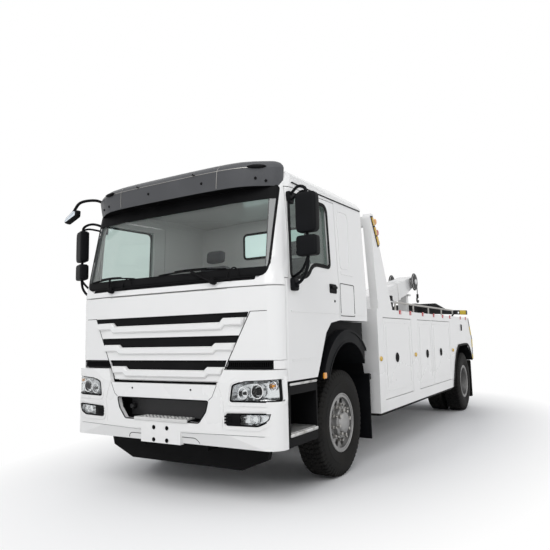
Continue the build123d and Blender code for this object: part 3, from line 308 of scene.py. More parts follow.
MIRROR = finish("mirror_glass", "rod_chrome", metal((0.70, 0.76, 0.82), (0.76, 0.82, 0.88), 0.02), 0.00002,
                Metallic=1.0)
ROPE = finish("steel_rope", "cast_grey", metal((0.10, 0.095, 0.09), (0.22, 0.21, 0.2), 0.45), 0.001, Metallic=0.7)
CYLINDER = finish("cylinder_paint", "cylinder_paint", grained((0.03, 0.03, 0.032), (0.08, 0.08, 0.08), 150, 0.35),
                  0.0003)
MESH = finish("grille_mesh", "black_plastic", mesh_grille, 0.003)
CLEAR_LENS = finish("clear_lens", "lamp_lens", tinted((0.97, 0.98, 0.98), (0.93, 0.95, 0.95)), Transmission_Weight=1.0,
                    IOR=1.3)
AMBER_LENS = finish("amber_lens", "amber_lens", lens((0.85, 0.36, 0.03), (0.60, 0.20, 0.01)), 0.0008, Coat_Weight=0.5)
RED_LENS = finish("red_lens", "amber_lens", lens((0.55, 0.03, 0.04), (0.32, 0.01, 0.02)), 0.0008, Coat_Weight=0.5)
YELLOW_LENS = finish("yellow_lens", "amber_lens", lens((0.72, 0.46, 0.05), (0.52, 0.30, 0.02)), 0.0008,
                     Coat_Weight=0.4)
YELLOW_HOSE = finish("yellow_hose", "amber_lens", grained((0.62, 0.45, 0.03), (0.78, 0.60, 0.10), 200, 0.4), 0.0003)
finish("window_glass", "glass", tinted((0.96, 0.985, 0.98), (0.90, 0.94, 0.935)), Transmission_Weight=1.0, IOR=1.25)
DOOR_GLASS = finish("door_glass", "glass", tinted((0.52, 0.61, 0.58), (0.45, 0.54, 0.51)), Transmission_Weight=1.0,
                    IOR=1.25)
# the back window's inside pane: a tinted sheet with a faint glow though it is no lamp, painted daylight through the
# window
GLOWING_PANE_GLASS = finish("glowing_pane_glass", "glass", tinted((0.60, 0.74, 0.71), (0.52, 0.66, 0.63)), Coat_Weight=0.5,
                    Emission_Color=(0.72, 0.90, 0.86, 1), Emission_Strength=0.62)
MARGIN_GLASS = finish("margin_glass", "glass", tinted((0.085, 0.092, 0.092), (0.065, 0.071, 0.071)), Coat_Weight=0.5)
DARK_GLASS = finish("dark_glass", "glass", tinted((0.016, 0.022, 0.022), (0.010, 0.014, 0.014)), Coat_Weight=0.6)

# Surfaces


def loft(rings, looped=False):
    """Rings of points joined in order: a quad for each step along and round; end rings get flat caps unless looped."""
    count, around = rings.shape[:2]
    rows = np.arange(count if looped else count - 1)
    row, column = np.meshgrid(rows, np.arange(around), indexing="ij")
    next_row, next_column = (row + 1) % count, (column + 1) % around
    corners = (row * around + column, next_row * around + column,
               next_row * around + next_column, row * around + next_column)
    faces = np.stack(corners, -1).reshape(-1, 4).tolist()
    if not looped:
        faces += [list(range(around)), list(range((count - 1) * around, count * around))]
    return rings.reshape(-1, 3), faces


def gather(forms):
    """Several forms as one, the corner numbers of each moved past those before it."""
    points, faces, start = [], [], 0
    for form_points, form_faces in forms:
        points.append(form_points)
        faces += [[start + corner for corner in face] for face in form_faces]
        start += len(form_points)
    return np.concatenate(points), faces


def piece(name, forms, material, body="truck", slot=None, stands_for=(), sharp=35):
    """A finished object of one or more forms: doubles merged, faces turned outwards, riding on a body."""
    points, faces = gather(forms)
    mesh = bpy.data.meshes.new(name)
    mesh.from_pydata(points, [], faces)
    shape = bmesh.new()
    shape.from_mesh(mesh)
    bmesh.ops.remove_doubles(shape, verts=shape.verts, dist=1e-6)
    bmesh.ops.recalc_face_normals(shape, faces=shape.faces)
    shape.to_mesh(mesh)
    shape.free()
    mesh.shade_smooth()
    mesh.set_sharp_from_angle(angle=radians(sharp))
    mesh.materials.append(material)
    made = bpy.data.objects.new(name, mesh)
    scene.collection.objects.link(made)
    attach(made, body)
    slot = slot or own_slot[material.name]
    if stands_for:
        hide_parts(*stands_for)
    return made


def unit(vectors):
    """Each vector scaled to length one."""
    return vectors / np.maximum(np.linalg.norm(vectors, axis=-1, keepdims=True), 1e-12)


def smooth_path(points, steps=8):
    """A path through the points: a Catmull-Rom cubic on each run, sampled evenly."""
    p = np.asarray(points, float)
    p = np.concatenate([2 * p[:1] - p[1:2], p, 2 * p[-1:] - p[-2:-1]])
    a, b, c, d = p[:-3, None], p[1:-2, None], p[2:-1, None], p[3:, None]
    t = np.linspace(0, 1, steps, endpoint=False)[None, :, None]
    runs = 0.5 * (2 * b + (c - a) * t + (2 * a - 5 * b + 4 * c - d) * t**2 + (3 * b - a - 3 * c + d) * t**3)
    return np.concatenate([runs.reshape(-1, 3), p[-2:-1]])


def sweep(path, section):
    """A closed section, as (sideways, upwards), carried along a path square to it."""
    path, section = np.asarray(path, float), np.asarray(section, float)
    ahead = np.roll(path, -1, 0) - np.roll(path, 1, 0)
    ahead[0], ahead[-1] = path[1] - path[0], path[-1] - path[-2]
    ahead = unit(ahead)
    side = np.cross(ahead, UPWARDS)
    side = unit(np.where(np.linalg.norm(side, axis=1, keepdims=True) < 1e-6, np.cross(ahead, (0.3, 1, 0.1)), side))
    over = np.cross(side, ahead)
    rings = path[:, None] + side[:, None] * section[None, :, :1] + over[:, None] * section[None, :, 1:]
    return loft(rings)


def circle(radius, count=12):
    """Points of a circle, as (across, up)."""
    turn = np.linspace(0, 2 * pi, count, endpoint=False)
    return radius * np.stack([np.cos(turn), np.sin(turn)], 1)


def tube(points, radius, sides=12, steps=8):
    """A round tube along a smooth path through the points."""
    return sweep(smooth_path(points, steps), circle(radius, sides))


def lathe(profile, centre, axis, steps=64, closed=False):
    """A profile, as (along, radius), turned about an axis through the centre."""
    profile, axis = np.asarray(profile, float), unit(np.asarray(axis, float))
    first = unit(np.cross(axis, (0.2, 0.35, 0.9)))
    second = np.cross(axis, first)
    turn = np.linspace(0, 2 * pi, steps, endpoint=False)
    out = np.cos(turn)[:, None] * first + np.sin(turn)[:, None] * second
    rings = np.asarray(centre, float) + profile[:, None, :1] * axis + profile[:, None, 1:] * out[None]
    return loft(rings, closed)


def rounded(outline, radius, steps=5):
    """An outline with each corner replaced by a quadratic curve between points a radius away along its edges."""
    p = np.asarray(outline, float)
    before, after = np.roll(p, 1, 0) - p, np.roll(p, -1, 0) - p
    reach = np.broadcast_to(np.asarray(radius, float), len(p))[:, None]
    back_cut = np.minimum(reach, np.linalg.norm(before, axis=1, keepdims=True) * 0.49)
    fore_cut = np.minimum(reach, np.linalg.norm(after, axis=1, keepdims=True) * 0.49)
    start, end = p + unit(before) * back_cut, p + unit(after) * fore_cut
    t = np.linspace(0, 1, steps)[None, :, None]
    curve = (1 - t) ** 2 * start[:, None] + 2 * t * (1 - t) * p[:, None] + t**2 * end[:, None]
    return curve.reshape(-1, 2)


def shrunk(outline, amount):
    """An outline moved inwards: each point goes along the mean of its two edges' normals."""
    p = np.asarray(outline, float)
    ahead = unit(np.roll(p, -1, 0) - p)
    behind = np.roll(ahead, 1, 0)
    area = np.sum(p[:, 0] * np.roll(p[:, 1], -1) - np.roll(p[:, 0], -1) * p[:, 1])
    normal = np.stack([-(ahead + behind)[:, 1], (ahead + behind)[:, 0]], 1) * np.sign(area)
    share = np.maximum(1 + np.sum(ahead * behind, 1, keepdims=True), 0.4)
    return p + normal / share * amount


def plate(outline, levels, place):
    """An outline stacked at (inset, height) levels and put into space by a function of across, up and height."""
    rings = [place(*shrunk(outline, inset).T, height) for inset, height in levels]
    return loft(np.array(rings))


def grid(*parts):
    """Coordinates of equal or stretchable shape put together as points."""
    return np.stack(np.broadcast_arrays(*parts), -1)


def on_side(side, surface):
    """Places an outline, as (distance back, height), on the side of the truck, standing out along X."""
    return lambda across, up, height: grid(side * (surface(up) + height), at(across), up)


def on_front(surface):
    """Places an outline, as (x, height), on the front of the truck, standing out forwards."""
    return lambda across, up, height: grid(across, surface(across, up) - height, up)


def on_back(y):
    """Places an outline, as (x, height), on an upright face at a Y, standing out backwards."""
    return lambda across, up, height: grid(across, y + height, up)


def on_top(z, side=1):
    """Places an outline, as (x, distance back), level at a height, standing up."""
    return lambda across, up, height: grid(side * across, at(up), z + height)


def box_outline(low, high):
    """The four corners of a rectangle."""
    return [(low[0], low[1]), (high[0], low[1]), (high[0], high[1]), (low[0], high[1])]


def tile(low, high, radius, steps=4, side=1):
    """A rectangle with rounded corners, mirrored to a side."""
    return rounded(box_outline(low, high), radius, steps) * (side, 1)


def round_profile(along, radius, thick, count):
    """A small circle as a profile, as (along, radius)."""
    return (along, radius) + circle(thick, count)[:, ::-1]


def knob(radius, height):
    """The profile of a small turned knob, as (along, radius)."""
    return [(-0.004, radius), (height * 0.6, radius), (height * 0.9, radius * 0.85), (height, radius * 0.6),
            (height, 0.0005)]


def side_tube(side, points, radius, sides=12, steps=8):
    """A tube on one side of the truck, through points as (distance out, distance back, height)."""
    return tube([(side * x, at(back), z) for x, back, z in points], radius, sides, steps)


def swivelled(form, pole, angle):
    """A form turned by an angle about an upright line through a point in plan."""
    points, faces = form
    x, y = points[:, 0] - pole[0], points[:, 1] - pole[1]
    turned = (pole[0] + x * cos(angle) - y * sin(angle), pole[1] + x * sin(angle) + y * cos(angle), points[:, 2])
    return np.stack(turned, 1), faces


def pillow(low, high, power=0.35, rows=24, columns=36):
    """A box with rounded sides: a sphere's sines and cosines raised to a power below one."""
    low, high = np.asarray(low, float), np.asarray(high, float)
    rise = np.linspace(-pi / 2, pi / 2, rows)[:, None]
    turn = np.linspace(-pi, pi, columns, endpoint=False)[None]

    def soft(value):
        return np.sign(value) * np.abs(value) ** power

    form = np.stack([soft(np.cos(rise)) * soft(np.cos(turn)), soft(np.cos(rise)) * soft(np.sin(turn)),
                     soft(np.sin(rise)) * np.ones_like(turn)], -1)
    return loft((low + high) / 2 + form * (high - low) / 2)


def cab_slope(z):
    """How far up the leaning part of the cab a height is, from 0 at the belt to 1 at the roof."""
    return np.clip((z - 1.9) / 1.16, 0, 1)


def plan_set(x):
    """How far the front sets back across its width: flat middle, slanted shoulders, round corners."""
    a = np.abs(x)
    corner = np.clip(a - 1.1, 0, 0.144)
    return np.maximum(a - 0.75, 0) * 0.121 + 0.15 - np.sqrt(0.0225 - corner**2)


def cab_face(x, z):
    """Y of the cab's front: its plan set back, leaning above the belt."""
    slope = cab_slope(z)
    return at(0.05) + 0.232 * slope + plan_set(x * (1 + 0.037 * slope))


def cab_side(z):
    """X of the cab's side: upright to the belt and leaning in above it."""
    return CAB_HALF - 0.045 * cab_slope(z)


def bumper_face(x, z):
    """Y of the bumper's skin: leaning at the top, tucked under the crease."""
    top = 0.022 * np.clip((z - 1.053) / 0.11, 0, 1)
    tuck = 0.045 * np.clip((0.62 - z) / 0.115, 0, 1)
    return at(0.0) + top + tuck + plan_set(x)


def sunk(surface, amount):
    """The same front surface moved inwards."""
    return lambda x, z: surface(x, z) + amount


def flat_side(x):
    """A side surface that stands upright at one X."""
    return lambda up: np.full_like(np.asarray(up, float), x)


def shell(front, behind):
    """Two grids of the same size, one behind the other, closed round their rims."""
    rows, columns = front.shape[:2]
    index = np.arange(rows * columns).reshape(rows, columns)
    row, column = np.meshgrid(np.arange(rows - 1), np.arange(columns - 1), indexing="ij")
    quads = np.stack([index[row, column], index[row + 1, column],
                      index[row + 1, column + 1], index[row, column + 1]], -1).reshape(-1, 4)
    rim = np.concatenate([index[0, :-1], index[:-1, -1], index[-1, :0:-1], index[:0:-1, 0]])
    band = np.stack([rim, np.roll(rim, -1), np.roll(rim, -1) + rows * columns, rim + rows * columns], 1)
    faces = np.concatenate([quads, quads[:, ::-1] + rows * columns, band])
    return np.concatenate([front.reshape(-1, 3), behind.reshape(-1, 3)]), faces.tolist()


def front_skin(x, z, surface, proud, deep):
    """A skin over part of the front: a grid of x and z laid on a surface, proud of it outside and deep inside."""
    y = surface(x, z)
    return shell(grid(x, y - proud, z), grid(x, y + deep, z))


def band(outer, inner, place, high):
    """A flat frame between two outlines of equal count, raised to a height."""
    rings = [place(*outer.T, -0.002), place(*outer.T, high), place(*inner.T, high), place(*inner.T, -0.002)]
    return loft(np.array(rings), looped=True)


def dense(outline, reach, looped=True):
    """An outline with points no further apart than a reach, so that it can follow a curved surface."""
    p = np.asarray(outline, float)
    step = (np.roll(p, -1, 0) if looped else np.concatenate([p[1:], p[-1:]])) - p
    count = np.maximum(np.ceil(np.linalg.norm(step, axis=1) / reach), 1).astype(int)
    start = np.repeat(np.arange(len(p)), count)
    share = (np.arange(count.sum()) - np.repeat(np.cumsum(count) - count, count)) / np.repeat(count, count)
    return p[start] + step[start] * share[:, None]


def strip(path, width, place, high=0.002, looped=False):
    """A flat strip along a path on a surface: at each point its section reaches half the width to both sides."""
    p = np.asarray(path, float)
    ahead = np.roll(p, -1, 0) - np.roll(p, 1, 0)
    if not looped:
        ahead[0], ahead[-1] = p[1] - p[0], p[-1] - p[-2]
    across = np.stack([-unit(ahead)[:, 1], unit(ahead)[:, 0]], 1) * width / 2
    rings = [place(*(p + across).T, -0.003), place(*(p + across).T, high),
             place(*(p - across).T, high), place(*(p - across).T, -0.003)]
    return loft(np.stack(rings, 1), looped)


def seam(points, width, place, high, reach=0.03, side=1):
    """A strip along straight runs of points, mirrored to a side."""
    return strip(dense(np.multiply(points, (side, 1)), reach, False), width, place, high)


# CAD nodes take the finish of their record slot, apart from a few
node_finish = {"front_fenders": SLATE, "door_glass_left": DOOR_GLASS, "door_glass_right": DOOR_GLASS}
for part in frame["record"]["subparts"]:
    coats = frame["nodes"][part["node"]].data.materials
    coats.clear()
    coats.append(node_finish.get(part["node"], slot_finish[part["material_slot"]]))

# Tyres and wheels
TREAD_HALF, TREAD_FOOT, PITCHES = 0.116, 0.507, 60
RIB_HALF, GROOVE_HALF, GROOVE_DEEP = 0.055, 0.006, 0.014
# columns: across, radius, from the bead to the shoulder
tyre_wall = [(-0.120, 0.291), (-0.129, 0.300), (-0.140, 0.335), (-0.1455, 0.37), (-0.1475, 0.41), (-0.1455, 0.412),
             (-0.145, 0.45), (-0.139, 0.485), (-0.131, 0.508), (-0.126, 0.526)]
tyre_inside = [(0.108, 0.291), (0.118, 0.45), (0.09, 0.505), (-0.09, 0.505), (-0.118, 0.45), (-0.108, 0.291)]


def tyre(middle, y):
    """A tyre turned about its axle. Its radius falls by the groove depth where a point lies in a cross groove, which
    repeats by pitch and leans with the distance from the middle, or in one of two zigzag grooves round the tyre."""
    tread = [(x, TYRE_R - 0.004 * (x / TREAD_HALF) ** 2) for x in np.linspace(-TREAD_HALF, TREAD_HALF, 25)]
    outer = tyre_wall + tread + [(-x, r) for x, r in tyre_wall[::-1]]
    across = np.array(outer + tyre_inside)
    turn = np.linspace(0, 2 * pi, PITCHES * 8, endpoint=False)[:, None]
    x, radius = across[None, :, 0], across[None, :, 1]
    pitch = turn * PITCHES / (2 * pi) + np.sign(x) * 0.5 + 5.0 * np.abs(x)
    phase = pitch % 1.0
    zigzag = 0.048 + 0.012 * np.abs(2 * ((pitch * 0.5) % 1.0) - 1)
    shoulder = (np.abs(x) > RIB_HALF) & (phase < 0.36)
    centre = (np.abs(x) <= RIB_HALF) & (phase < 0.2)
    around = np.abs(np.abs(x) - zigzag) < GROOVE_HALF
    groove = (shoulder | centre | around) & (radius > TREAD_FOOT)
    groove[:, len(outer):] = False
    radius = radius - GROOVE_DEEP * groove
    rings = np.stack([middle + x + 0 * turn, y + radius * np.cos(turn), TYRE_R + radius * np.sin(turn)], -1)
    return loft(rings, looped=True)


def studs(side, face, y, count, ring, length):
    """Wheel nuts on their studs, set evenly on a ring about the axle."""
    nut = [(-0.004, 0.021), (0.004, 0.021), (0.004, 0.0185), (0.026, 0.0175), (0.03, 0.013)]
    stud = [(0.0, 0.011), (length - 0.004, 0.011), (length, 0.008)]
    made = []
    for turn in np.linspace(0, 2 * pi, count, endpoint=False) + 0.17:
        centre = (side * face, y + ring * cos(turn), TYRE_R + ring * sin(turn))
        made += [lathe(nut, centre, (side, 0, 0), 6), lathe(stud, centre, (side, 0, 0), 10)]
    return made


# columns: axle, tyre places, axle Y, nut face, hub end, rim edge
axle_rows = (
    ("front", (1.02,), AXLE_FRONT, 1.115, 1.16, 1.148),
    ("rear", (0.74, 1.075), AXLE_REAR, 0.9215, 1.085, 1.203),
)
for axle, places, y, nut_face, hub, rim in axle_rows:
    centre = (0, y, TYRE_R)
    lip = round_profile(rim, 0.292, 0.009, 10)
    well = [(rim - 0.03, 0.2585), (rim - 0.002, 0.2585), (rim, 0.284), (rim - 0.012, 0.288)]
    cap = [(hub - 0.02, 0.151), (hub - 0.004, 0.151), (hub + 0.004, 0.143), (hub + 0.005, 0.112),
           (hub + 0.022, 0.106), (hub + 0.036, 0.092), (hub + 0.04, 0.05), (hub + 0.04, 0.001)]
    for side, hand in SIDES:
        where = f"{axle}_{hand}"
        body = f"wheel_{where}"
        forms = [tyre(side * place, y) for place in places]
        piece(f"tread_{where}", forms, RUBBER, body, stands_for=[f"tyre_{where}"], sharp=30)
        forms = [lathe(ring, centre, (side, 0, 0), 96, closed=True) for ring in (lip, well)]
        forms.append(lathe(cap, centre, (side, 0, 0), 48))
        piece(f"rim_trim_{where}", forms, WHEEL_STEEL, body, sharp=40)
        forms = studs(side, nut_face, y, 10, 0.178, 0.058) + studs(side, hub + 0.004, y, 8, 0.127, 0.02)
        piece(f"wheel_nuts_{where}", forms, ZINC, body, sharp=30)

# Cowl, windscreen frame and sun band, the band a tinted strip darkened further as painted shade of the visor
COWL_FOOT, FRAME_PROUD = 1.936, 0.0145
on_cab = on_front(cab_face)
across = np.linspace(-1, 1, 80)[:, None]
rows = np.linspace(0, 1, 8)[None]
cowl = front_skin(across * 1.01, COWL_FOOT + 0.036 * rows, cab_face, 0.008, 0.004)
ledge = front_skin(across * 0.99, 1.962 + 0.01 * rows, cab_face, 0.02, 0.0)
piece("cowl_strip", [cowl, ledge], BLACK_PLASTIC)
forms = [front_skin(across * 1.20, 1.887 + 0.05 * rows, cab_face, 0.0085, 0.004)]
height = np.linspace(COWL_FOOT, 2.13, 20)[:, None]
share = np.linspace(0, 1, 14)[None]
inner = np.interp(height, [COWL_FOOT, 1.955, 1.985, 2.03, 2.085, 2.13], [1.0, 1.04, 1.09, 1.128, 1.149, 1.158])
for side in (1, -1):
    corner = side * (inner + (1.208 - inner) * share)
    forms.append(front_skin(corner, height, cab_face, 0.0105 - 0.009 * share, 0.003))
piece("cowl_header", forms, ENAMEL, sharp=50)
screen = rounded([(-1.118, 1.968), (1.118, 1.968), (1.083, 2.813), (-1.083, 2.813)], (0.07, 0.07, 0.05, 0.05), 8)
outer = dense(screen, 0.04)
widen = np.interp(outer[:, 1], [1.968, 2.085, 2.813], [1.0, 1.028, 1.07])
spread = np.stack([outer[:, 0] * widen, outer[:, 1]], 1)
frit = band(outer, shrunk(outer, 0.02), on_front(sunk(cab_face, 0.0045)), 0.003)
pillar = band(spread, shrunk(outer, 0.004), on_cab, 0.012)
piece("screen_margin", [frit, pillar], MARGIN_GLASS)
border = band(spread, shrunk(spread, 0.016), on_cab, FRAME_PROUD)
# the dark band across the top of the windscreen: a tinted strip, and painted shade of the visor above it
top = front_skin(across * 1.145, 2.68 + 0.12 * rows, cab_face, FRAME_PROUD, 0.0)
foot_half = np.interp(rows, [0, 0.4, 1], [1.07, 1.12, 1.135])
foot = front_skin(across * foot_half, 1.972 + 0.078 * rows, cab_face, FRAME_PROUD, 0.0)
piece("screen_frame", [border, top, foot], BLACK_PLASTIC)

# Wipers: a pivot, an arm, a blade with its rib, and a loop of washer pipe each
PIVOT_Z, ARM_Z, LOOP_Z = 1.945, 2.06, 2.0
forms = []
# columns: pivot X, arm end X, blade from and to X
for pivot_x, arm_x, blade_from, blade_to in ((0.60, 0.33, -0.08, 0.72), (-0.70, -0.74, -1.06, -0.42)):
    pivot = np.array([pivot_x, cab_face(pivot_x, PIVOT_Z) - 0.02, PIVOT_Z])
    end = np.array([arm_x, cab_face(arm_x, ARM_Z) - 0.035, ARM_Z])
    forms.append(lathe([(-0.02, 0.03), (0.03, 0.03), (0.04, 0.022), (0.042, 0.001)], pivot, (0, -1, 0.1), 20))
    forms.append(tube([pivot + (0, -0.03, 0), pivot * 0.6 + end * 0.4 + (0, -0.03, 0), end], 0.011, 8))
    x = np.linspace(blade_from, blade_to, 24)
    z = ARM_Z - 0.008 + 0.02 * np.sin(np.linspace(0, pi, 24))
    blade = np.stack([x, cab_face(x, z) - 0.012, z], 1)
    forms.append(sweep(blade, [(-0.012, -0.006), (0.012, -0.004), (0.014, 0.006), (-0.012, 0.006)]))
    forms.append(sweep(blade[6:-6] + (0, -0.018, 0.003), box_outline((-0.006, -0.01), (0.006, 0.01))))
    turn = np.linspace(-0.4 * pi, 1.4 * pi, 9)
    x, z = pivot_x + 0.20 + 0.055 * np.cos(turn), LOOP_Z + 0.06 * np.sin(turn)
    loop = np.stack([x, cab_face(x, z) - 0.02 - 0.01 * np.sin(turn * 2), z], 1)
    forms.append(tube(np.concatenate([[pivot + (0.02, -0.02, 0)], loop[1:]]), 0.006, 8, 5))
piece("wipers", forms, BLACK_PLASTIC)

# Lamps of the bumper
on_bumper = on_front(bumper_face)
head = rounded([(0.79, 0.90), (0.812, 1.036), (0.925, 1.072), (1.222, 1.093), (1.228, 0.903)], 0.02, 4)
fog = rounded([(0.755, 0.702), (0.755, 0.795), (1.165, 0.806), (1.15, 0.757), (1.12, 0.732), (1.05, 0.702)], 0.016, 4)
# columns: outline, the bowl's levels as (inset, height)
bowl_rows = (
    (head, [(0, -0.085), (0, -0.02), (0.008, -0.018), (0.03, -0.06), (0.06, -0.068)]),
    (fog, [(0, -0.075), (0, -0.02), (0.006, -0.018), (0.02, -0.05), (0.035, -0.056)]),
)
cover_levels = [(0.002, -0.012), (0.001, -0.004), (0.006, -0.0015)]
# columns: x, height, radius, depth, radius of the dark middle
eye_rows = ((1.035, 0.985, 0.062, 0.045, 0.036), (0.905, 0.968, 0.05, 0.05, 0.014))
# columns: x, height, distance in, radius behind
cup_rows = ((1.165, 1.03, 0.062, 0.04), (1.0, 0.755, 0.052, 0.042))
bowls, covers, bezels, dark_bits, ambers, frames = [], [], [], [], [], []
for side in (1, -1):
    for outline, levels in bowl_rows:
        line = dense(outline, 0.03) * (side, 1)
        bowls.append(plate(line, levels, on_bumper))
        covers.append(plate(line, cover_levels, on_bumper))
        bezels.append(band(shrunk(line, -0.006), shrunk(line, 0.008), on_bumper, 0.002))
        frames.append(strip(shrunk(line, -0.028), 0.02, on_bumper, 0.007, looped=True))
    for x, z, radius, deep, pupil in eye_rows:
        centre = (side * x, bumper_face(x, z) + 0.062, z)
        ring = [(0, radius), (deep, radius), (deep, radius - 0.008), (0.014, radius - 0.02), (0.012, 0.001)]
        bowls.append(lathe(ring, centre, FORWARDS, 40))
        eye = [(0.01, pupil), (0.03, pupil * 0.95), (0.04, pupil * 0.7), (0.043, 0.001)]
        dark_bits.append(lathe(eye, centre, FORWARDS, 32))
    for x, z, deep, radius in cup_rows:
        cup = [(0, radius), (0.03, 0.04), (0.032, 0.034), (0.012, 0.02), (0.012, 0.001)]
        bowls.append(lathe(cup, (side * x, bumper_face(x, z) + deep, z), FORWARDS, 32))
    x, z, deep, radius = cup_rows[0]
    bulb = [(0.012, 0.013), (0.028, 0.012), (0.034, 0.007), (0.035, 0.001)]
    ambers.append(lathe(bulb, (side * x, bumper_face(x, z) + deep, z), FORWARDS, 20))
    grip = dense(tile((0.765, 0.706), (0.885, 0.794), 0.01, 4, side), 0.02)
    dark_bits.append(plate(grip, [(0, -0.06), (0, 0.0), (0.006, 0.004)], on_bumper))
    for z in (0.722, 0.748, 0.774):
        prong = dense(tile((0.735, z - 0.008), (0.805, z + 0.008), 0.006, 3, side), 0.02)
        dark_bits.append(plate(prong, [(0, -0.03), (0, 0.008), (0.003, 0.011)], on_bumper))
piece("lamp_reflectors", bowls, CHROME)
piece("lamp_covers", covers, CLEAR_LENS, stands_for=["front_lamps"])
piece("lamp_bezels", bezels + dark_bits, BLACK_PLASTIC)
piece("indicators", ambers, AMBER_LENS)
piece("lamp_frames", frames, ENAMEL)

# Cab sides: window frames, handles, beads, hatch and drip line
window = rounded([(0.355, 2.735), (1.14, 2.765), (1.14, 2.13), (0.76, 2.13), (0.64, 1.99), (0.322, 1.965)],
                 (0.05, 0.09, 0.06, 0.12, 0.12, 0.05), 7)
window = dense(window, 0.05)
hatch = tile((1.362, 1.645), (1.725, 1.985), 0.02)
press = rounded([(1.40, 2.775), (1.66, 2.79), (1.69, 2.70), (1.64, 2.16), (1.40, 2.15)], 0.05, 6)
gutter = np.stack([np.linspace(0.42, 2.07, 24), 2.852 + 0.043 * np.linspace(0, 1, 24) ** 1.4], 1)
handle_cup, handle_bar = tile((1.10, 1.868), (1.262, 1.962), 0.018, 5), tile((1.116, 1.915), (1.246, 1.944), 0.01)
# Mirrors: two moulded heads on a bent tube, with their glass facing back; the kerb side's heads turn to the driver
MIRROR_OUT, MIRROR_BACK, MIRROR_FACE, KERB_TURN = 1.44, 0.27, 0.313, -0.42
# columns: radius, sides, points as (distance out, distance back, height)
mirror_tubes = (
    (0.014, 12, [(1.205, 0.375, 2.70), (1.26, 0.36, 2.745), (1.34, 0.31, 2.765), (1.42, 0.275, 2.735),
                 (MIRROR_OUT, MIRROR_BACK, 2.66), (MIRROR_OUT, MIRROR_BACK, 2.35), (MIRROR_OUT, MIRROR_BACK, 2.10),
                 (1.415, 0.285, 2.0), (1.34, 0.32, 1.92), (1.25, 0.345, 1.885)]),
    (0.011, 10, [(1.205, 0.395, 2.665), (1.28, 0.355, 2.69), (1.37, 0.30, 2.71), (MIRROR_OUT, MIRROR_BACK, 2.70)]),
    (0.012, 10, [(MIRROR_OUT, MIRROR_BACK, 2.12), (1.39, 0.30, 2.05), (1.33, 0.33, 2.0), (1.235, 0.36, 1.965)]),
)
# Steps and fender: tread plates, marker lamp, lips, the liner over the tyre, and the panel from it to the cab's edge
FENDER_CENTRE = np.array([1.52, 0.85])
LINER_R = 0.645
step_levels = [(0, 0), (0, 0.006), (0.004, 0.008)]
lip_turn = np.linspace(pi - 0.28, 0.74, 60)
lip_arc = np.stack([np.cos(lip_turn), np.sin(lip_turn)], 1)
liner_turn = np.linspace(0.22, pi - 0.22, 40)[:, None]
liner_width = np.linspace(0.70, 1.158, 10)[None]
reach = np.linspace(0.94, 2.135, 60)[:, None]
foot = FENDER_CENTRE[1] + np.sqrt(np.maximum(LINER_R**2 - (reach - FENDER_CENTRE[0]) ** 2, 0.35**2))
edge = np.interp(reach, [0.94, 0.995, 1.115, 1.335, 2.14], [1.24, 1.46, 1.555, 1.588, 1.588])
foot = np.minimum(foot, edge - 0.002)
rise = foot + (edge - foot) * np.linspace(0, 1, 8)[None]
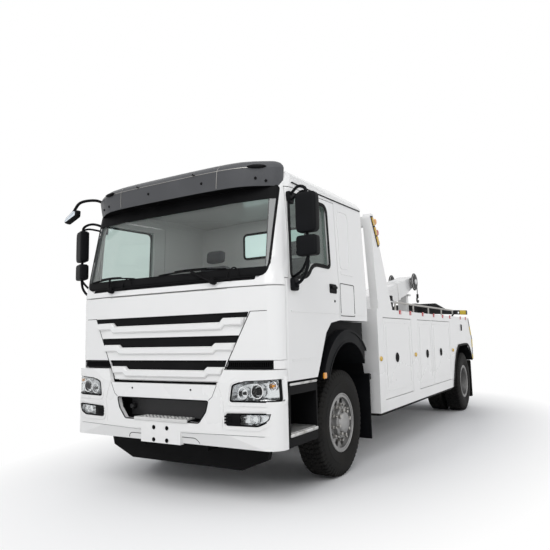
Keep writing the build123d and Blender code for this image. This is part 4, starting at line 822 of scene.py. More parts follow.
for side, hand in SIDES:
    skin = on_side(side, cab_side)
    door = f"door_{hand}"
    forms = [band(shrunk(window, -0.022), shrunk(window, 0.016), skin, 0.004)]
    forms.append(plate(handle_cup, [(0, -0.003), (0, 0.005), (0.006, 0.008), (0.012, 0.003)], skin))
    forms.append(plate(handle_bar, [(0, 0.002), (0, 0.02), (0.005, 0.026)], skin))
    forms.append(lathe(knob(0.013, 0.006), (side * cab_side(1.79), at(1.215), 1.79), (side, 0, 0), 24))
    piece(f"door_trim_{hand}", forms, BLACK_PLASTIC, door)
    forms = [seam([(0.30, 1.662), (1.31, 1.668)], 0.016, skin, 0.005, 0.1),
             seam([(0.30, 1.235), (0.76, 1.235)], 0.012, skin, 0.004, 0.1)]
    piece(f"door_beads_{hand}", forms, ENAMEL, door)
    forms = [strip(press, 0.016, skin, 0.004, looped=True), strip([(1.345, 1.662), (2.06, 1.668)], 0.016, skin, 0.005),
             strip([(1.40, 2.10), (1.72, 2.10)], 0.03, skin, 0.004), strip(gutter + (0, 0.012), 0.018, skin, 0.013)]
    piece(f"quarter_beads_{hand}", forms, ENAMEL)
    forms = [strip(hatch, 0.007, skin, 0.003, looped=True), strip(gutter, 0.009, skin, 0.009)]
    piece(f"quarter_seams_{hand}", forms, BLACK_PLASTIC)

    shells, panes = [], []
    on_pane = on_back(at(MIRROR_FACE))
    for low, high in ((2.125, 2.305), (2.33, 2.685)):
        shells.append(pillow((side * 1.345, at(0.222), low), (side * 1.545, at(0.315), high), 0.28))
        pane = tile((1.36, low + 0.014), (1.53, high - 0.014), 0.03, 6, side)
        shells.append(band(shrunk(pane, -0.004), shrunk(pane, 0.006), on_pane, 0.006))
        panes.append(plate(pane, [(0.003, -0.002), (0.003, 0.002), (0.006, 0.003)], on_pane))
    if side < 0:
        pole = (side * MIRROR_OUT, at(MIRROR_BACK))
        shells, panes = ([swivelled(form, pole, KERB_TURN) for form in group] for group in (shells, panes))
    shells += [side_tube(side, points, radius, sides, 6) for radius, sides, points in mirror_tubes]
    shells.append(pillow((side * 1.19, at(0.335), 2.64), (side * 1.235, at(0.43), 2.755), 0.4))
    shells.append(pillow((side * 1.225, at(0.295), 1.84), (side * 1.285, at(0.40), 1.955), 0.4))
    shells.append(lathe(knob(0.02, 0.022), (side * 1.28, at(0.345), 1.885), (side, 0, 0), 20))
    piece(f"mirror_shells_{hand}", shells, SLATE, door, stands_for=[f"mirror_{hand}"])
    piece(f"mirror_panes_{hand}", panes, MIRROR, door)

    forms = [plate(tile((0.965, 0.285), (1.222, 0.765), 0.02), step_levels, on_top(0.614, side))]
    for z, tall in ((0.585, 0.028), (1.018, 0.02)):
        nose = tile((0.268, z), (0.782, z + tall), 0.012)
        forms.append(plate(nose, [(0, -0.002), (0, 0.007), (0.005, 0.01)], on_side(side, flat_side(1.225))))
    piece(f"step_treads_{hand}", forms, TREADPLATE)
    flare = on_side(side, flat_side(1.248))
    lamp = plate(tile((0.89, 1.034), (0.95, 1.09), 0.008), [(0, -0.002), (0, 0.008), (0.005, 0.012)], flare)
    piece(f"fender_lamp_{hand}", [lamp], AMBER_LENS)
    # columns: radius, width, how proud
    forms = [strip(lip_arc * radius + FENDER_CENTRE, width, flare, proud)
             for radius, width, proud in ((0.642, 0.022, 0.007), (0.53, 0.016, 0.005))]
    piece(f"fender_lip_{hand}", forms, SLATE)
    liner = [grid(side * liner_width, at(FENDER_CENTRE[0] + r * np.cos(liner_turn)),
                  FENDER_CENTRE[1] + r * np.sin(liner_turn)) for r in (LINER_R - 0.003, LINER_R + 0.003)]
    panel = [grid(side * x, at(reach), rise) for x in (1.156, 1.150)]
    piece(f"fender_liner_{hand}", [shell(*liner), shell(*panel)], BLACK_PLASTIC)

# Front lid: seams of the grille panel; dark louvres in the gap below its corners
GAP_FOOT, GAP_HEAD = 1.168, 1.241
seams, louvres, ends = [], [], []
for side in (1, -1):
    seams.append(seam([(0.962, 1.664), (0.745, 1.246), (0.655, 1.075)], 0.007, on_cab, 0.0012, 0.05, side))
    seams.append(seam([(0.962, 1.664), (1.17, 1.664)], 0.005, on_cab, 0.0012, 0.02, side))
    x = side * np.linspace(0.705, 1.17, 40)[:, None]
    louvres.append(front_skin(x, np.linspace(GAP_FOOT, GAP_HEAD, 6)[None], sunk(cab_face, 0.03), 0.0, 0.006))
    for place in np.linspace(0.74, 1.15, 22):
        rib = np.multiply(box_outline((place - 0.0035, 1.17), (place + 0.0035, 1.239)), (side, 1))
        louvres.append(plate(rib, [(0, -0.028), (0, -0.014), (0.001, -0.012)], on_cab))
    for z in (1.178, 1.232):
        rail = [(0.71, z), (0.95, z), (1.168, z)]
        louvres.append(seam(rail, 0.012, on_front(sunk(cab_face, 0.014)), 0.008, 0.03, side))
    x = side * np.linspace(1.166, 1.238, 12)[:, None]
    ends.append(front_skin(x, np.linspace(GAP_FOOT, GAP_HEAD, 4)[None], cab_face, 0.0, 0.03))
piece("lid_seams", seams, BLACK_PLASTIC, "front_lid")
piece("corner_louvres", louvres, BLACK_PLASTIC)
x, z = np.linspace(-0.62, 0.62, 30)[:, None], np.linspace(1.05, 1.07, 3)[None]
piece("louvre_ends", ends + [front_skin(x, z, sunk(cab_face, 0.022), 0.0, 0.004)], ENAMEL)

# Bumper: tread on the step, bolts, plate holes, crease lines with thin dark lines as their painted shade, tow-eye
# covers and the mesh in its mouth
TREAD_TOP, MOUTH_BACK = 0.7195, 0.143
nose = rounded([(-0.325, 0.004), (0.325, 0.004), (0.30, 0.145), (-0.30, 0.145)], 0.02, 4)
forms = [plate(nose, step_levels, on_top(0.712))]
pimple = [(-0.002, 0.012), (0.005, 0.01), (0.006, 0.007), (0.0005, 0.005), (0.0005, 0.0005)]
forms += [lathe(pimple, (x, at(d), TREAD_TOP), UPWARDS, 10)
          for x in np.linspace(-0.27, 0.27, 13) for d in (0.035, 0.075, 0.115)]
edge = dense(tile((-0.325, 0.69), (0.325, 0.721), 0.008), 0.05)
forms.append(plate(edge, [(0, -0.002), (0, 0.009), (0.004, 0.012)], on_bumper))
piece("bumper_tread", forms, ALUMINIUM)
forms = []
for x in np.linspace(-0.25, 0.25, 7):
    slot = [(x - 0.03, 0.022), (x - 0.012, 0.022), (x + 0.03, 0.128), (x + 0.012, 0.128)]
    forms.append(plate(slot, [(0, 0), (0, 0.0015), (0.001, 0.002)], on_top(TREAD_TOP)))
hole = [(-0.01, 0.017), (0.002, 0.02), (0.004, 0.018), (0.003, 0.014), (-0.012, 0.012), (-0.013, 0.0005)]
forms += [lathe(hole, (x, at(0.0), z), FORWARDS, 24) for x in (-0.08, 0.08) for z in (0.5225, 0.6325)]
forms += [lathe(knob(0.009, 0.004), (x, bumper_face(x, 0.985), 0.985), FORWARDS, 16) for x in (-0.36, 0.36)]
swing = np.linspace(0.5 * pi, 0.05 * pi, 14)
cover = np.stack([0.37 + 0.06 * np.cos(swing), 0.508 + 0.055 * np.sin(swing)], 1)
cover = np.concatenate([[(0.243, 0.563), (0.30, 0.563)], cover])
creases = []
for side in (1, -1):
    forms.append(strip(cover * (side, 1), 0.006, on_bumper, 0.0012))
    # thin dark lines along the creases: painted shade of the creases
    forms.append(seam([(0.25, 0.604), (0.72, 0.619), (1.17, 0.619)], 0.0035, on_bumper, 0.001, 0.03, side))
    forms.append(seam([(0.648, 1.03), (0.60, 0.93), (0.56, 0.90)], 0.004, on_bumper, 0.001, 0.03, side))
    creases.append(seam([(1.18, 0.628), (0.72, 0.628), (0.26, 0.612)], 0.012, on_bumper, 0.006, 0.03, side))
    creases.append(seam([(0.66, 1.05), (0.72, 0.88), (0.70, 0.66)], 0.014, on_bumper, 0.006, 0.03, side))
mouth = rounded([(-0.555, 0.893), (-0.530, 0.800), (-0.450, 0.700), (0.450, 0.700), (0.530, 0.800), (0.555, 0.893)],
                0.018, 4)
mouth = dense(mouth, 0.04)
forms.append(band(shrunk(mouth, -0.006), shrunk(mouth, 0.004), on_bumper, 0.002))
piece("bumper_trim", forms, BLACK_PLASTIC)
piece("bumper_creases", creases, ENAMEL)
x, z = np.linspace(-0.50, 0.50, 40)[:, None], np.linspace(0.715, 0.885, 8)[None]
forms = [front_skin(x, z, lambda x, z: np.full_like(x, at(MOUTH_BACK)), 0.004, 0.004)]
forms += [lathe(knob(0.028, 0.05), (x, at(0.14), 0.80), FORWARDS, 20) for x in (-0.46, 0.46)]
piece("mouth_mesh", forms, MESH)

# Sun visor: skin, marker lamps, screws, joints and its kerb mirror
RIDGE_Z = 2.968
# columns: half width, distance back
visor_plan = [(0, 0.054), (0.33, 0.056), (0.62, 0.066), (0.82, 0.092), (0.95, 0.14), (1.04, 0.19), (1.10, 0.228),
              (1.14, 0.258), (1.17, 0.29), (1.188, 0.33)]
plan = smooth_path([(x, d, 0) for x, d in visor_plan[::-1]], 8)[:, :2]
# columns: distance inwards from the plan, height; the outside comes first
visor_section = np.array([(0.026, 2.800), (0.012, 2.88), (0.0, RIDGE_Z), (0.012, 2.995), (0.05, 3.03), (0.10, 3.055),
                          (0.20, 3.083), (0.20, 3.07), (0.11, 3.035), (0.05, 3.0), (0.03, 2.96), (0.036, 2.88),
                          (0.046, 2.803)])


def visor_face(x, z):
    """Y of the visor's front: its profile's distance inwards added to its plan's."""
    inwards, height = visor_section[:6].T
    return at(np.interp(z, height, inwards) + np.interp(np.abs(x), plan[::-1, 0], plan[::-1, 1]))


front = on_front(visor_face)
whole = np.concatenate([plan, plan[-2::-1] * (-1, 1)])
ahead = unit(np.gradient(whole, axis=0))
inwards = np.stack([ahead[:, 1], -ahead[:, 0]], 1)
line = whole[:, None] + inwards[:, None] * visor_section[None, :, :1]
rings = grid(line[..., 0], at(line[..., 1]), visor_section[None, :, 1])
piece("visor_skin", [loft(rings)], GREY_PLASTIC, stands_for=["roof_visor"], sharp=28)
# the visor's underside, from its brim back to the cab: a black sheet as painted shade under the visor
brim = rings[8:-8, 0] + (0, 0.001, -0.002)
x = brim[:, 0] * 0.985
rear = grid(x, cab_face(x, 2.80) - 0.012, 2.80)
underside_shade = brim[:, None] + (rear - brim)[:, None] * np.linspace(0, 1, 6)[None, :, None]
piece("visor_underside_shade", [shell(underside_shade, underside_shade + (0, 0, 0.005))], BLACK_PLASTIC)
forms = []
for x, half in ((1.0, 0.075), (-0.80, 0.075), (0.36, 0.012), (-0.36, 0.012)):
    lamp = (x, 2.975) + circle(1, 28) * (half, 0.26 * half)
    forms.append(plate(lamp, [(0, -0.012), (0, 0.014), (0.006, 0.024), (0.012, 0.027)], front))
screw = [(-0.006, 0.013), (0.003, 0.013), (0.005, 0.010), (0.002, 0.006), (0.002, 0.0005)]
for x, z in ((1.06, 2.845), (0.44, 2.885), (-0.23, 2.89), (-0.84, 2.86), (0.98, 2.87), (-0.98, 2.855)):
    forms.append(lathe(screw, (x, visor_face(x, z), z), (0, -1, 0.1), 18))
piece("visor_lamps", forms, BLACK_PLASTIC)
joint = np.stack([0.02 * np.linspace(-1, 1, 20), np.linspace(2.812, 3.045, 20)], 1)
forms = [strip(joint + (x, 0), 0.004, front, 0.003) for x in (0.62, -0.62)]
ridge = np.stack([np.linspace(-1.02, 1.02, 60), np.full(60, RIDGE_Z)], 1)
piece("visor_joints", forms + [strip(ridge, 0.004, front, 0.003)], ZINC, slot="cast_grey")
kerb = rounded([(-1.45, 2.75), (-1.44, 2.79), (-1.30, 2.87), (-1.25, 2.86), (-1.255, 2.80), (-1.42, 2.735)], 0.014, 5)
on_kerb = on_back(at(0.03))
forms = [plate(kerb, [(0.012, -0.012), (-0.002, -0.002), (-0.005, 0.02), (-0.005, 0.046), (0.004, 0.052)], on_kerb)]
arm = [(1.10, 0.31, 2.96), (1.18, 0.22, 3.0), (1.28, 0.1, 2.965), (1.345, 0.06, 2.86)]
piece("kerb_mirror_shell", forms + [side_tube(-1, arm, 0.016, 12, 6)], BLACK_PLASTIC)
forms = [plate(kerb, [(0.014, -0.013), (0.014, -0.016), (0.018, -0.017)], on_kerb),
         plate(kerb, [(0.014, 0.05), (0.014, 0.055), (0.018, 0.056)], on_kerb)]
piece("kerb_mirror_pane", forms, MIRROR)

# Lockers: latches, markers, reflectors, beads, arch lips and linings, handrails, skirts and mudflaps
RAIL_OUT, RAIL_Z, RAIL_FOOT, FLAP_BACK = 1.15, 1.885, 1.759, 7.735
# columns: door, latch, its first and last beads, as distances back
locker_rows = ((1, 3.08, 2.66, 3.67), (2, 4.50, 4.10, 4.75), (3, 5.31, 4.88, 5.96))
latch_cup = [(-0.002, 0.062), (0.006, 0.062), (0.009, 0.056), (0.008, 0.05), (0.001, 0.046), (0.0005, 0.0005)]
marker = [(-0.002, 0.03), (0.008, 0.03), (0.018, 0.025), (0.022, 0.014), (0.023, 0.0005)]
post = [(0, 0.03), (0.006, 0.03), (0.008, 0.02), (0.008, 0.0125), (0.118, 0.0125), (0.122, 0.0005)]
arch = [(6.06, 0.522), (6.31, 0.98), (6.55, 1.20), (6.75, 1.235), (7.35, 1.235), (7.60, 1.10), (7.72, 0.922)]
arch_path = smooth_path([(d, z, 0) for d, z in arch], 8)[:, :2]
arch_line, arch_middle = dense(arch, 0.06, False), np.array([7.0, 0.6])
arch_across = np.linspace(0.635, 1.246, 6)[None]
# columns: low and high rear corner of each mark, as (distance back, height)
mark_rows = (((7.785, 1.415), (7.68, 1.585)), ((7.847, 1.17), (7.847, 1.33)), ((7.847, 0.94), (7.847, 1.03)))
for side, hand in SIDES:
    outwards = (side, 0, 0)
    face = on_side(side, flat_side(LOCKER_HALF))
    for number, latch, start, end in locker_rows:
        forms = [lathe(latch_cup, (side * LOCKER_HALF, at(latch), 1.15), outwards, 40)]
        bar = tile((latch - 0.04, 1.138), (latch + 0.04, 1.162), 0.01)
        forms.append(plate(bar, [(0, 0.0), (0, 0.01), (0.004, 0.014)], face))
        piece(f"latch_{hand}_{number}", forms, BLACK_PLASTIC, f"locker_door_{hand}_{number}")
    for number, latch, start, end in locker_rows:
        forms = [seam([(start, z), (end, z)], 0.014, face, 0.004, 0.3) for z in (0.752, 1.60)]
        forms += [strip([(d, 0.80), (d, 1.55)], 0.012, face, 0.004) for d in (start + 0.03, end - 0.03)]
        piece(f"locker_beads_{hand}_{number}", forms, ENAMEL, f"locker_door_{hand}_{number}")
    forms = [lathe(marker, (side * LOCKER_HALF, at(d), 1.157), outwards, 28) for d in (2.47, 3.89, 6.14)]
    piece(f"locker_markers_{hand}", forms, YELLOW_LENS)
    forms = [plate(tile((d - 0.04, 1.712), (d + 0.04, 1.772), 0.008), [(0, -0.002), (0, 0.006), (0.005, 0.009)], face)
             for d in (3.28, 3.74, 4.36, 4.98, 5.56, 6.06, 6.90, 7.35)]
    piece(f"reflectors_{hand}", forms, RED_LENS)
    # a dark lining on the inside of the wheel arch: its outline drawn in towards the wheel
    lining = []
    for share in (0.988, 0.999):
        inner = arch_middle + (arch_line - arch_middle) * share
        lining.append(grid(side * arch_across, at(inner[:, :1]), inner[:, 1:]))
    piece(f"arch_lining_{hand}", [shell(*lining[::side])], BLACK_PLASTIC)
    forms = [strip(arch_path, 0.034, face, 0.014)]
    skirt = tile((1.02, 2.43), (1.235, 6.02), 0.01, 3)
    forms.append(plate(skirt, [(0, 0.0), (0, -0.028), (0.006, -0.034)], on_top(0.521, side)))
    grip = tile((6.885, 1.50), (6.915, 1.62), 0.012)
    forms.append(plate(grip, [(0, -0.002), (0, 0.012), (0.006, 0.018)], face))
    forms.append(side_tube(side, [(1.20, 6.40, 1.76), (1.235, 6.42, 1.80), (1.245, 6.46, 1.845)], 0.012, 10))
    forms.append(lathe(knob(0.022, 0.03), (side * 1.243, at(6.458), 1.84), (0, 0.3, 1), 16))
    forms.append(seam([(7.832, 0.93), (7.832, 1.332), (7.576, 1.745)], 0.03, face, 0.004, 0.1))
    flap = tile((0.60, 0.19), (1.22, 0.915), 0.03, 4, side)
    forms.append(plate(flap, [(0, 0), (0, 0.008), (0.004, 0.01)], on_back(at(FLAP_BACK))))
    piece(f"locker_trim_{hand}", forms, RUBBER, slot="black_plastic")
    forms = [side_tube(side, [(RAIL_OUT, d, RAIL_Z) for d in (3.352, 5.05, 6.748)], 0.0138, 14, 12)]
    forms += [lathe(post, (side * RAIL_OUT, at(d), RAIL_FOOT), UPWARDS, 18) for d in np.linspace(3.39, 6.71, 5)]
    piece(f"handrail_{hand}", forms, ZINC, slot="cast_grey")
    forms = []
    for low, high in mark_rows:
        mark = np.array([low, low, high, high]) - [(0, 0), (0.045, 0), (0.045, 0), (0, 0)]
        forms.append(plate(mark, [(0, -0.002), (0, 0.0065), (0.002, 0.0075)], face))
    piece(f"tail_marks_{hand}", forms, YELLOW_HOSE)

# Gantry and tail lamps
GANTRY_HALF, TAIL_BACK, WORK_BACK, WORK_OUT = 1.23, 7.85, 3.088, 1.185
gantry_edge = np.array([(2.372, 2.89), (2.43, 2.90), (2.64, 2.57), (2.585, 2.54)])
dome = [(0, 0.037), (0.005, 0.037), (0.006, 0.033), (0.011, 0.029), (0.0125, 0.018), (0.0128, 0.0005)]
disc = [(-0.002, 0.04), (0.008, 0.04), (0.012, 0.034), (0.012, 0.0005)]
strips, ambers, reds, clears, boxes = [], [], [], [], []
for side in (1, -1):
    outwards = (side, 0, 0)
    face, tail = on_side(side, flat_side(GANTRY_HALF)), on_back(at(TAIL_BACK))
    boxes.append(plate(gantry_edge, [(-0.004, -0.001), (-0.004, 0.006), (0.002, 0.008)], face))
    head, foot = gantry_edge[:2], gantry_edge[:1:-1]
    for low, high in ((0.03, 0.32), (0.35, 0.64), (0.67, 0.97)):
        cell = np.concatenate([head + (foot - head) * low, (head + (foot - head) * high)[::-1]])
        strips.append(plate(rounded(cell, 0.01, 4), [(0.003, 0.004), (0.003, 0.013), (0.009, 0.018)], face))
    ambers.append(lathe(dome, (side * GANTRY_HALF, at(2.53), 2.85), outwards, 32))
    reds.append(lathe(dome, (side * GANTRY_HALF, at(2.59), 2.72), outwards, 32))
    boxes.append(plate(tile((0.98, 1.0), (1.22, 1.13), 0.01, 4, side), [(0, 0), (0, 0.022), (0.006, 0.026)], tail))
    for start, width, group in ((0.99, 0.045, clears), (1.045, 0.08, ambers), (1.13, 0.08, reds)):
        cell = tile((start, 1.012), (start + width, 1.118), 0.008, 4, side)
        group.append(plate(cell, [(0, 0.02), (0, 0.028), (0.006, 0.03)], tail))
    for low in (1.80, 1.885):
        boxes.append(pillow((side * 1.145, at(3.02), low), (side * 1.225, at(3.09), low + 0.07), 0.25))
        lamp = tile((1.155, low + 0.008), (1.215, low + 0.062), 0.008, 4, side)
        clears.append(plate(lamp, [(0, 0), (0, 0.004), (0.004, 0.006)], on_back(at(WORK_BACK))))
        stem = [(WORK_OUT, 2.95, low + 0.03), (WORK_OUT, 3.0, low + 0.035), (WORK_OUT, 3.03, low + 0.035)]
        boxes.append(side_tube(side, stem, 0.012, 8))
    reds.append(lathe(disc, (side * 0.86, at(7.852), 1.06), (0, 1, 0), 32))
piece("gantry_strips", strips, YELLOW_LENS, stands_for=["warning_lamps"])
piece("amber_lamps", ambers, AMBER_LENS)
piece("red_lamps", reds, RED_LENS)
piece("work_lamps", clears, CLEAR_LENS)
piece("lamp_boxes", boxes, BLACK_PLASTIC)

# Boom: sheave faces, guard, collar, ropes on the drums, pipes and painted bands
BOOM_TURN, BOOM_HALF, SHEAVE_OUT, LIFT_OUT = radians(12), 0.2, 0.245, 0.292
along = np.array([0, cos(BOOM_TURN), sin(BOOM_TURN)])
over = np.array([0, -sin(BOOM_TURN), cos(BOOM_TURN)])
boom_root = np.array([0, at(3.90), 1.74])
drum = (0, at(3.12), 1.42)
fairlead = (0.20, 3.56, 1.655)


def on_boom(x, reach, rise):
    """Points given across, along and square to the boom at rest."""
    points = boom_root + np.multiply.outer(reach, along) + np.multiply.outer(rise, over)
    points[..., 0] = x
    return points


def boom_side(side):
    """Places an outline, as (along, square to it), on the boom's side."""
    return lambda across, up, height: on_boom(side * (BOOM_HALF + height), across, up)


def boom_cap(rise):
    """Places an outline, as (x, along), on the boom's top."""
    return lambda across, up, height: on_boom(across, up, rise + height)


disc = np.array([(0.017, 0.05), (0.022, 0.052), (0.022, 0.158), (0.02, 0.163), (0.017, 0.163)])
hub = [(0.016, 0.055), (0.036, 0.055), (0.041, 0.048), (0.041, 0.03), (0.046, 0.028), (0.046, 0.0005)]
collar_levels = [(0, -0.002), (0, 0.01), (0.004, 0.013)]
faces, hubs, collars, ropes, fittings = [], [], [], [], []
# the drum's profile as (along, radius): a ripple for each turn of rope
turns = np.arange(22)[:, None]
ripple = np.array([(-0.0075, 0.0), (-0.004, 0.0062), (0.0, 0.008), (0.004, 0.0062)])
wound = grid(0.09 + turns * 0.0185 + ripple[None, :, 0], 0.128 + ripple[None, :, 1]).reshape(-1, 2)
wound = np.concatenate([[(0.07, 0.1)], wound, [(0.49, 0.1)]])
motor = [(0.53, 0.06), (0.60, 0.06), (0.61, 0.054), (0.61, 0.035), (0.615, 0.03), (0.615, 0.0005)]
eye = [(-0.02, 0.05), (0.02, 0.05), (0.02, 0.02), (-0.02, 0.02)]
for side in (1, -1):
    outwards = (side, 0, 0)
    centre = on_boom(side * SHEAVE_OUT, 3.62, 0.06)
    faces += [lathe(disc * (way, 1), centre, outwards, 64, closed=True) for way in (1, -1)]
    hubs.append(lathe(hub, centre, outwards, 32))
    collars.append(plate(tile((2.60, -0.17), (2.70, 0.17), 0.01, 3), collar_levels, boom_side(side)))
    collars += [seam([(0.30, up), (2.55, up)], 0.03, boom_side(side), 0.008, 0.3) for up in (-0.09, 0.09)]
    ropes.append(lathe(wound, drum, outwards, 40))
    ropes.append(side_tube(side, [(0.28, 3.13, 1.55), (0.26, 3.32, 1.60), fairlead], 0.008, 10))
    fittings.append(lathe(motor, drum, outwards, 32))
    fittings.append(lathe(eye, (side * fairlead[0], at(fairlead[1]), fairlead[2]), (0, 1, 0.3), 32, closed=True))
    fittings.append(side_tube(side, [(0.20, 3.57, 1.61), (0.21, 3.58, 1.40), (0.22, 3.6, 1.19)], 0.02))
guard = tile((-0.175, 3.02), (0.175, 3.86), 0.03)
hubs.append(plate(guard, [(0, -0.002), (0, 0.006), (0.004, 0.008)], boom_cap(0.148)))
collars.append(plate(tile((-BOOM_HALF, 2.60), (BOOM_HALF, 2.70), 0.01, 3), collar_levels, boom_cap(0.165)))
piece("sheave_faces", faces, BLACK_STEEL, "boom_tip")
piece("sheave_hubs", hubs, ENAMEL, "boom_tip")
piece("boom_collar", collars, ENAMEL, "boom")
piece("winch_ropes", ropes, ROPE)
piece("winch_fittings", fittings, BLACK_STEEL)

# a painted band round each end of the crossbar, following its slanting top and foot
forms = []
low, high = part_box("crossbar")
for side in (1, -1):
    rings = []
    for x, proud in ((0.968, -0.001), (0.97, 0.002), (1.09, 0.002), (1.092, -0.001)):
        foot, head = 1.89 - (x - 0.45) / 0.65 * 0.04 - proud, 1.965 - (x - 0.7) / 0.4 * 0.025 + proud
        corners = tile((low[1] - proud, foot), (high[1] + proud, head), 0.006, 3)
        rings.append(grid(side * x, corners[:, 0], corners[:, 1]))
    forms.append(loft(np.array(rings)[::side]))
piece("crossbar_bands", forms, YELLOW_HOSE, "crossbar")
# columns: distance along the lift cylinder, distance off its middle
pipe_rows = ((0.88, 0.05), (0.86, 0.085), (0.70, 0.09), (0.25, 0.085), (0.12, 0.07))
gland = [(0.93, 0.055), (0.93, 0.062), (0.98, 0.062), (0.985, 0.055)]
for side, hand in SIDES:
    foot = np.array([side * LIFT_OUT, at(4.70), 1.31])
    run = unit(on_boom(side * LIFT_OUT, 1.90, -0.08) - foot)
    rear = np.cross(run, (1, 0, 0))
    forms = [tube([foot + run * reach + rear * off for reach, off in pipe_rows], 0.011, 10)]
    forms.append(lathe(gland, foot + run * 0.02, run, 40, closed=True))
    piece(f"cylinder_pipes_{hand}", forms, CYLINDER, "lift_barrels")

# Back of the cab: window, its inside pane glowing as painted daylight, pressed ribs and the pipes across
PIPE_BACK = 2.235
back_line = tile((-0.45, 2.49), (0.45, 2.80), 0.045, 6)
pane_levels = [(0, 0), (0, 0.003), (0.004, 0.004)]
inside, outside = on_front(lambda x, z: np.full_like(x, at(2.109))), on_back(at(2.17))
# the inside pane glows: painted daylight coming through the back window
piece("back_pane_inside", [plate(back_line, pane_levels, inside)], GLOWING_PANE_GLASS)
piece("back_pane_outside", [plate(back_line, pane_levels, outside)], DARK_GLASS)
forms = [band(shrunk(back_line, -0.022), shrunk(back_line, 0.008), place, 0.008) for place in (inside, outside)]
clip = [(-0.012, 0.018), (-0.012, 0.024), (0.012, 0.024), (0.012, 0.018)]
clips = np.linspace(-0.98, 0.98, 7)
for z in (1.985, 2.045):
    forms.append(tube([(x, at(PIPE_BACK), z) for x in (-1.0, -0.5, 0, 0.5, 1.0)], 0.017))
    forms += [lathe(clip, (x, at(PIPE_BACK), z), (1, 0, 0), 20, closed=True) for x in clips]
for x in clips:
    bracket = tile((x - 0.02, 1.94), (x + 0.02, 2.09), 0.008, 3)
    forms.append(plate(bracket, [(0, -0.002), (0, 0.05), (0.003, 0.054)], outside))
piece("back_trim", forms, BLACK_PLASTIC)
forms = []
for x in np.linspace(-0.9, 0.9, 7):
    for foot, head in ((1.70, 1.90), (2.16, 2.42 if abs(x) < 0.6 else 2.80)):
        forms.append(strip([(x, foot), (x, head)], 0.05, outside, 0.008))
piece("back_ribs", forms, ENAMEL)

# Cabin: steering wheel, instrument hood, lever, and the padded seats and bunk
SEAT_OUT, FLOOR_Z = 0.56, 1.662
spin = unit(np.array([0, 0.45, 1.0]))
hand_wheel = np.array([SEAT_OUT, at(0.64), 1.905]) + spin * 0.016
boss = [(0.014, 0.085), (0.03, 0.08), (0.042, 0.06), (0.046, 0.03), (0.046, 0.0005)]
grip = round_profile(0, 0.2175, 0.026, 14)
forms = [lathe(grip, hand_wheel, spin, 72, closed=True), lathe(boss, hand_wheel, spin, 40)]
piece("hand_wheel", forms, BLACK_PLASTIC)
forms = [pillow((0.30, at(0.20), 1.87), (0.82, at(0.42), 1.955), 0.4),
         pillow((-0.25, at(0.36), 1.62), (0.2, at(0.5), 1.83), 0.3)]
forms += [pillow((x - 0.08, at(0.40), 1.77), (x + 0.08, at(0.475), 1.84), 0.35) for x in (-0.9, -0.62, 0.92)]
forms.append(side_tube(1, [(0.22, 0.62, 1.66), (0.22, 0.64, 1.78), (0.225, 0.66, 1.90)], 0.012, 10))
forms.append(lathe(knob(0.03, 0.055), (0.226, at(0.662), 1.90), (0, 0.1, 1), 24))
piece("dash_trim", forms, CABIN_TRIM)
forms = []
for x in (SEAT_OUT, -SEAT_OUT):
    rings = []
    for row in range(7):
        half = np.array([0.19, 0.21]) + 0.012 * (row % 2)
        corners = (x, at(1.345)) + np.array(box_outline((-1, -1), (1, 1))) * half
        rings.append(grid(corners[:, 0], corners[:, 1], FLOOR_Z + 0.016 * row))
    forms.append(loft(np.array(rings)))
forms.append(plate(tile((-1.0, 1.72), (1.0, 2.09), 0.02), [(0, 0), (0, 0.205), (0.01, 0.215)], on_top(FLOOR_Z)))
piece("seat_bases", forms, BLACK_PLASTIC, stands_for=["seats"])


def stuffed(names, form, cap, voxel, moves):
    """Filled covers: a form is remeshed evenly, blown up by pressure with no gravity for twenty steps, and the travel
    of each point is capped. A copy is then moved to each place."""
    rough = bpy.data.meshes.new("rough")
    rough.from_pydata(form[0], [], form[1])
    dummy = bpy.data.objects.new("rough", rough)
    scene.collection.objects.link(dummy)
    even = dummy.modifiers.new("even", "REMESH")
    even.mode = "VOXEL"
    even.voxel_size = voxel
    cover = bpy.data.meshes.new_from_object(dummy.evaluated_get(bpy.context.evaluated_depsgraph_get()))
    dummy.modifiers.clear()
    dummy.data = cover
    start = np.empty(len(cover.vertices) * 3)
    cover.vertices.foreach_get("co", start)
    end = start.copy()
    cloth = dummy.modifiers.new("cover", "CLOTH")
    cloth.settings.use_pressure = True
    cloth.settings.uniform_pressure_force = 4
    cloth.settings.effector_weights.gravity = 0
    for step in range(1, 21):
        scene.frame_set(step)
    blown = bpy.data.meshes.new_from_object(dummy.evaluated_get(bpy.context.evaluated_depsgraph_get()))
    blown.vertices.foreach_get("co", end)
    scene.frame_set(1)
    travel = (end - start).reshape(-1, 3)
    length = np.maximum(np.linalg.norm(travel, axis=1, keepdims=True), 1e-9)
    settled = start.reshape(-1, 3) + travel * np.minimum(1, cap / length)
    faces = [list(polygon.vertices) for polygon in cover.polygons]
    bpy.data.objects.remove(dummy)
    for name, move in zip(names, moves):
        made = piece(name, [(settled + np.array(move), faces)], SEAT_CLOTH, sharp=180)
        soft = made.modifiers.new("soft", "SUBSURF")
        soft.levels = soft.render_levels = 1


def leaned(form):
    """A form leaned back like the seats: each point moves back by a share of its height above the cushion's top."""
    points, faces = form
    points = points.copy()
    points[:, 1] += np.maximum(points[:, 2] - 1.88, 0) * 0.118
    return points, faces


seat = pillow((0.325, at(1.035), 1.775), (0.795, at(1.50), 1.885), 0.3)
backrest = leaned(pillow((0.335, at(1.49), 1.90), (0.785, at(1.60), 2.35), 0.3))
headrest = leaned(pillow((0.43, at(1.50), 2.385), (0.69, at(1.585), 2.54), 0.4))
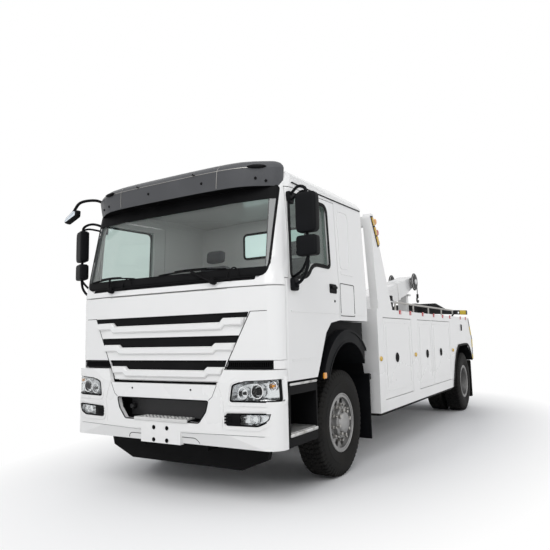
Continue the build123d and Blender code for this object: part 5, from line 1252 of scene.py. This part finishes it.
# columns: name, form, cap on the travel, voxel
for name, form, cap, voxel in (("seat_cushion", seat, 0.012, 0.010), ("seat_back", backrest, 0.010, 0.010),
                               ("headrest", headrest, 0.008, 0.008)):
    stuffed((f"{name}_left", f"{name}_right"), form, cap, voxel, ((0, 0, 0), (-2 * SEAT_OUT, 0, 0)))
mattress = pillow((-0.985, at(1.735), 1.885), (0.985, at(2.08), 2.005), 0.22, 20, 60)
stuffed(("bunk_mattress",), mattress, 0.012, 0.016, ((0, 0, 0),))

# Floor, lights and camera


def studio_white(tree, kind, plain, share=1.0):
    """A plain look mixed by a share with even white, for rays from the camera, off a gloss or through glass."""
    rays = tree.nodes.new("ShaderNodeLightPath").outputs
    camera, gloss, through = (Wire(tree, rays[f"Is {ray} Ray"]) for ray in ("Camera", "Glossy", "Transmission"))
    white = camera.node(kind, {}, {"Color": (1, 1, 1, 1), "Strength": 1.0})
    seen = (camera + gloss + through).clipped() * share
    return camera.node("ShaderNodeMixShader", {}, {0: seen, 1: Wire(tree, plain.outputs[0]), 2: white})


def stood(right, above, place):
    """The matrix of a lamp or camera, from the directions of its right and its top and from its place."""
    turned = np.eye(4)
    turned[:3] = np.stack([right, above, np.cross(right, above), place], 1)
    return Matrix(turned.tolist())


floor_mesh = bpy.data.meshes.new("floor")
floor_mesh.from_pydata([(x, y, 0.0) for x, y in box_outline((-40, -40), (40, 40))], [], [(0, 1, 2, 3)])
floor = bpy.data.objects.new("floor", floor_mesh)
scene.collection.objects.link(floor)
floor_paint = bpy.data.materials.new("pale_floor")
floor_paint.use_nodes = True
tree = floor_paint.node_tree
ground = tree.nodes["Principled BSDF"]
ground.inputs["Base Color"].default_value = (0.86, 0.86, 0.86, 1)
ground.inputs["Roughness"].default_value = 0.9
x, y, z = Wire(tree, tree.nodes.new("ShaderNodeTexCoord").outputs["Object"]).split()
far = ((x * x / 9 + y * y / 36) ** 0.5).above(0.62, 0.5)
both = studio_white(tree, "ShaderNodeEmission", ground, far)
tree.links.new(both.socket, tree.nodes["Material Output"].inputs["Surface"])
floor_mesh.materials.append(floor_paint)

scene.view_settings.view_transform = "Standard"
world = bpy.data.worlds.new("studio")
scene.world = world
world.use_nodes = True
tree = world.node_tree
sky = tree.nodes["Background"]
sky.inputs["Color"].default_value = (0.93, 0.95, 1.0, 1)
sky.inputs["Strength"].default_value = 0.5
both = studio_white(tree, "ShaderNodeBackground", sky)
tree.links.new(both.socket, tree.nodes["World Output"].inputs["Surface"])

# columns: name, place, aim, size, watts
lamp_rows = (
    ("key", (2.5, -12.0, 9.0), (0.0, -3.0, 1.5), 8.0, 720),
    ("side", (11.0, -1.0, 7.0), (0.0, 0.0, 1.2), 8.0, 250),
    ("back", (-9.0, 5.0, 8.0), (0.0, 0.0, 1.2), 8.0, 260),
    ("cabin", (0.0, -3.05, 2.93), (0.0, -3.0, 1.9), 0.5, 7),
)
for name, spot, aim, size, watts in lamp_rows:
    lamp = bpy.data.lights.new(name, "AREA")
    lamp.size = size
    lamp.energy = watts
    holder = bpy.data.objects.new(name, lamp)
    towards = unit(np.subtract(aim, spot))
    right = unit(np.cross(towards, UPWARDS))
    holder.matrix_world = stood(right, np.cross(right, towards), spot)
    scene.collection.objects.link(holder)
    holder.visible_camera = holder.visible_transmission = False
    holder.visible_glossy = name != "cabin"

# The camera that was fitted to the photo: turns in radians, focal length in pixels of its width
YAW, PITCH, ROLL = 0.5386923, 0.1176084, -0.0219148
FOCAL, PHOTO_WIDTH, SENSOR = 541.85, 550, 36
ahead = np.array([-sin(YAW) * cos(PITCH), cos(YAW) * cos(PITCH), sin(PITCH)])
right = np.array([cos(YAW), sin(YAW), 0])
above = np.cross(right, ahead)
lens_data = bpy.data.cameras.new("camera")
lens_data.sensor_width = SENSOR
lens_data.lens = SENSOR * FOCAL / PHOTO_WIDTH
lens_data.clip_end = 200
camera = bpy.data.objects.new("camera", lens_data)
camera.matrix_world = stood(cos(ROLL) * right + sin(ROLL) * above, cos(ROLL) * above - sin(ROLL) * right,
                            (3.5591, at(-3.8355), 1.4204))
scene.collection.objects.link(camera)
scene.camera = camera
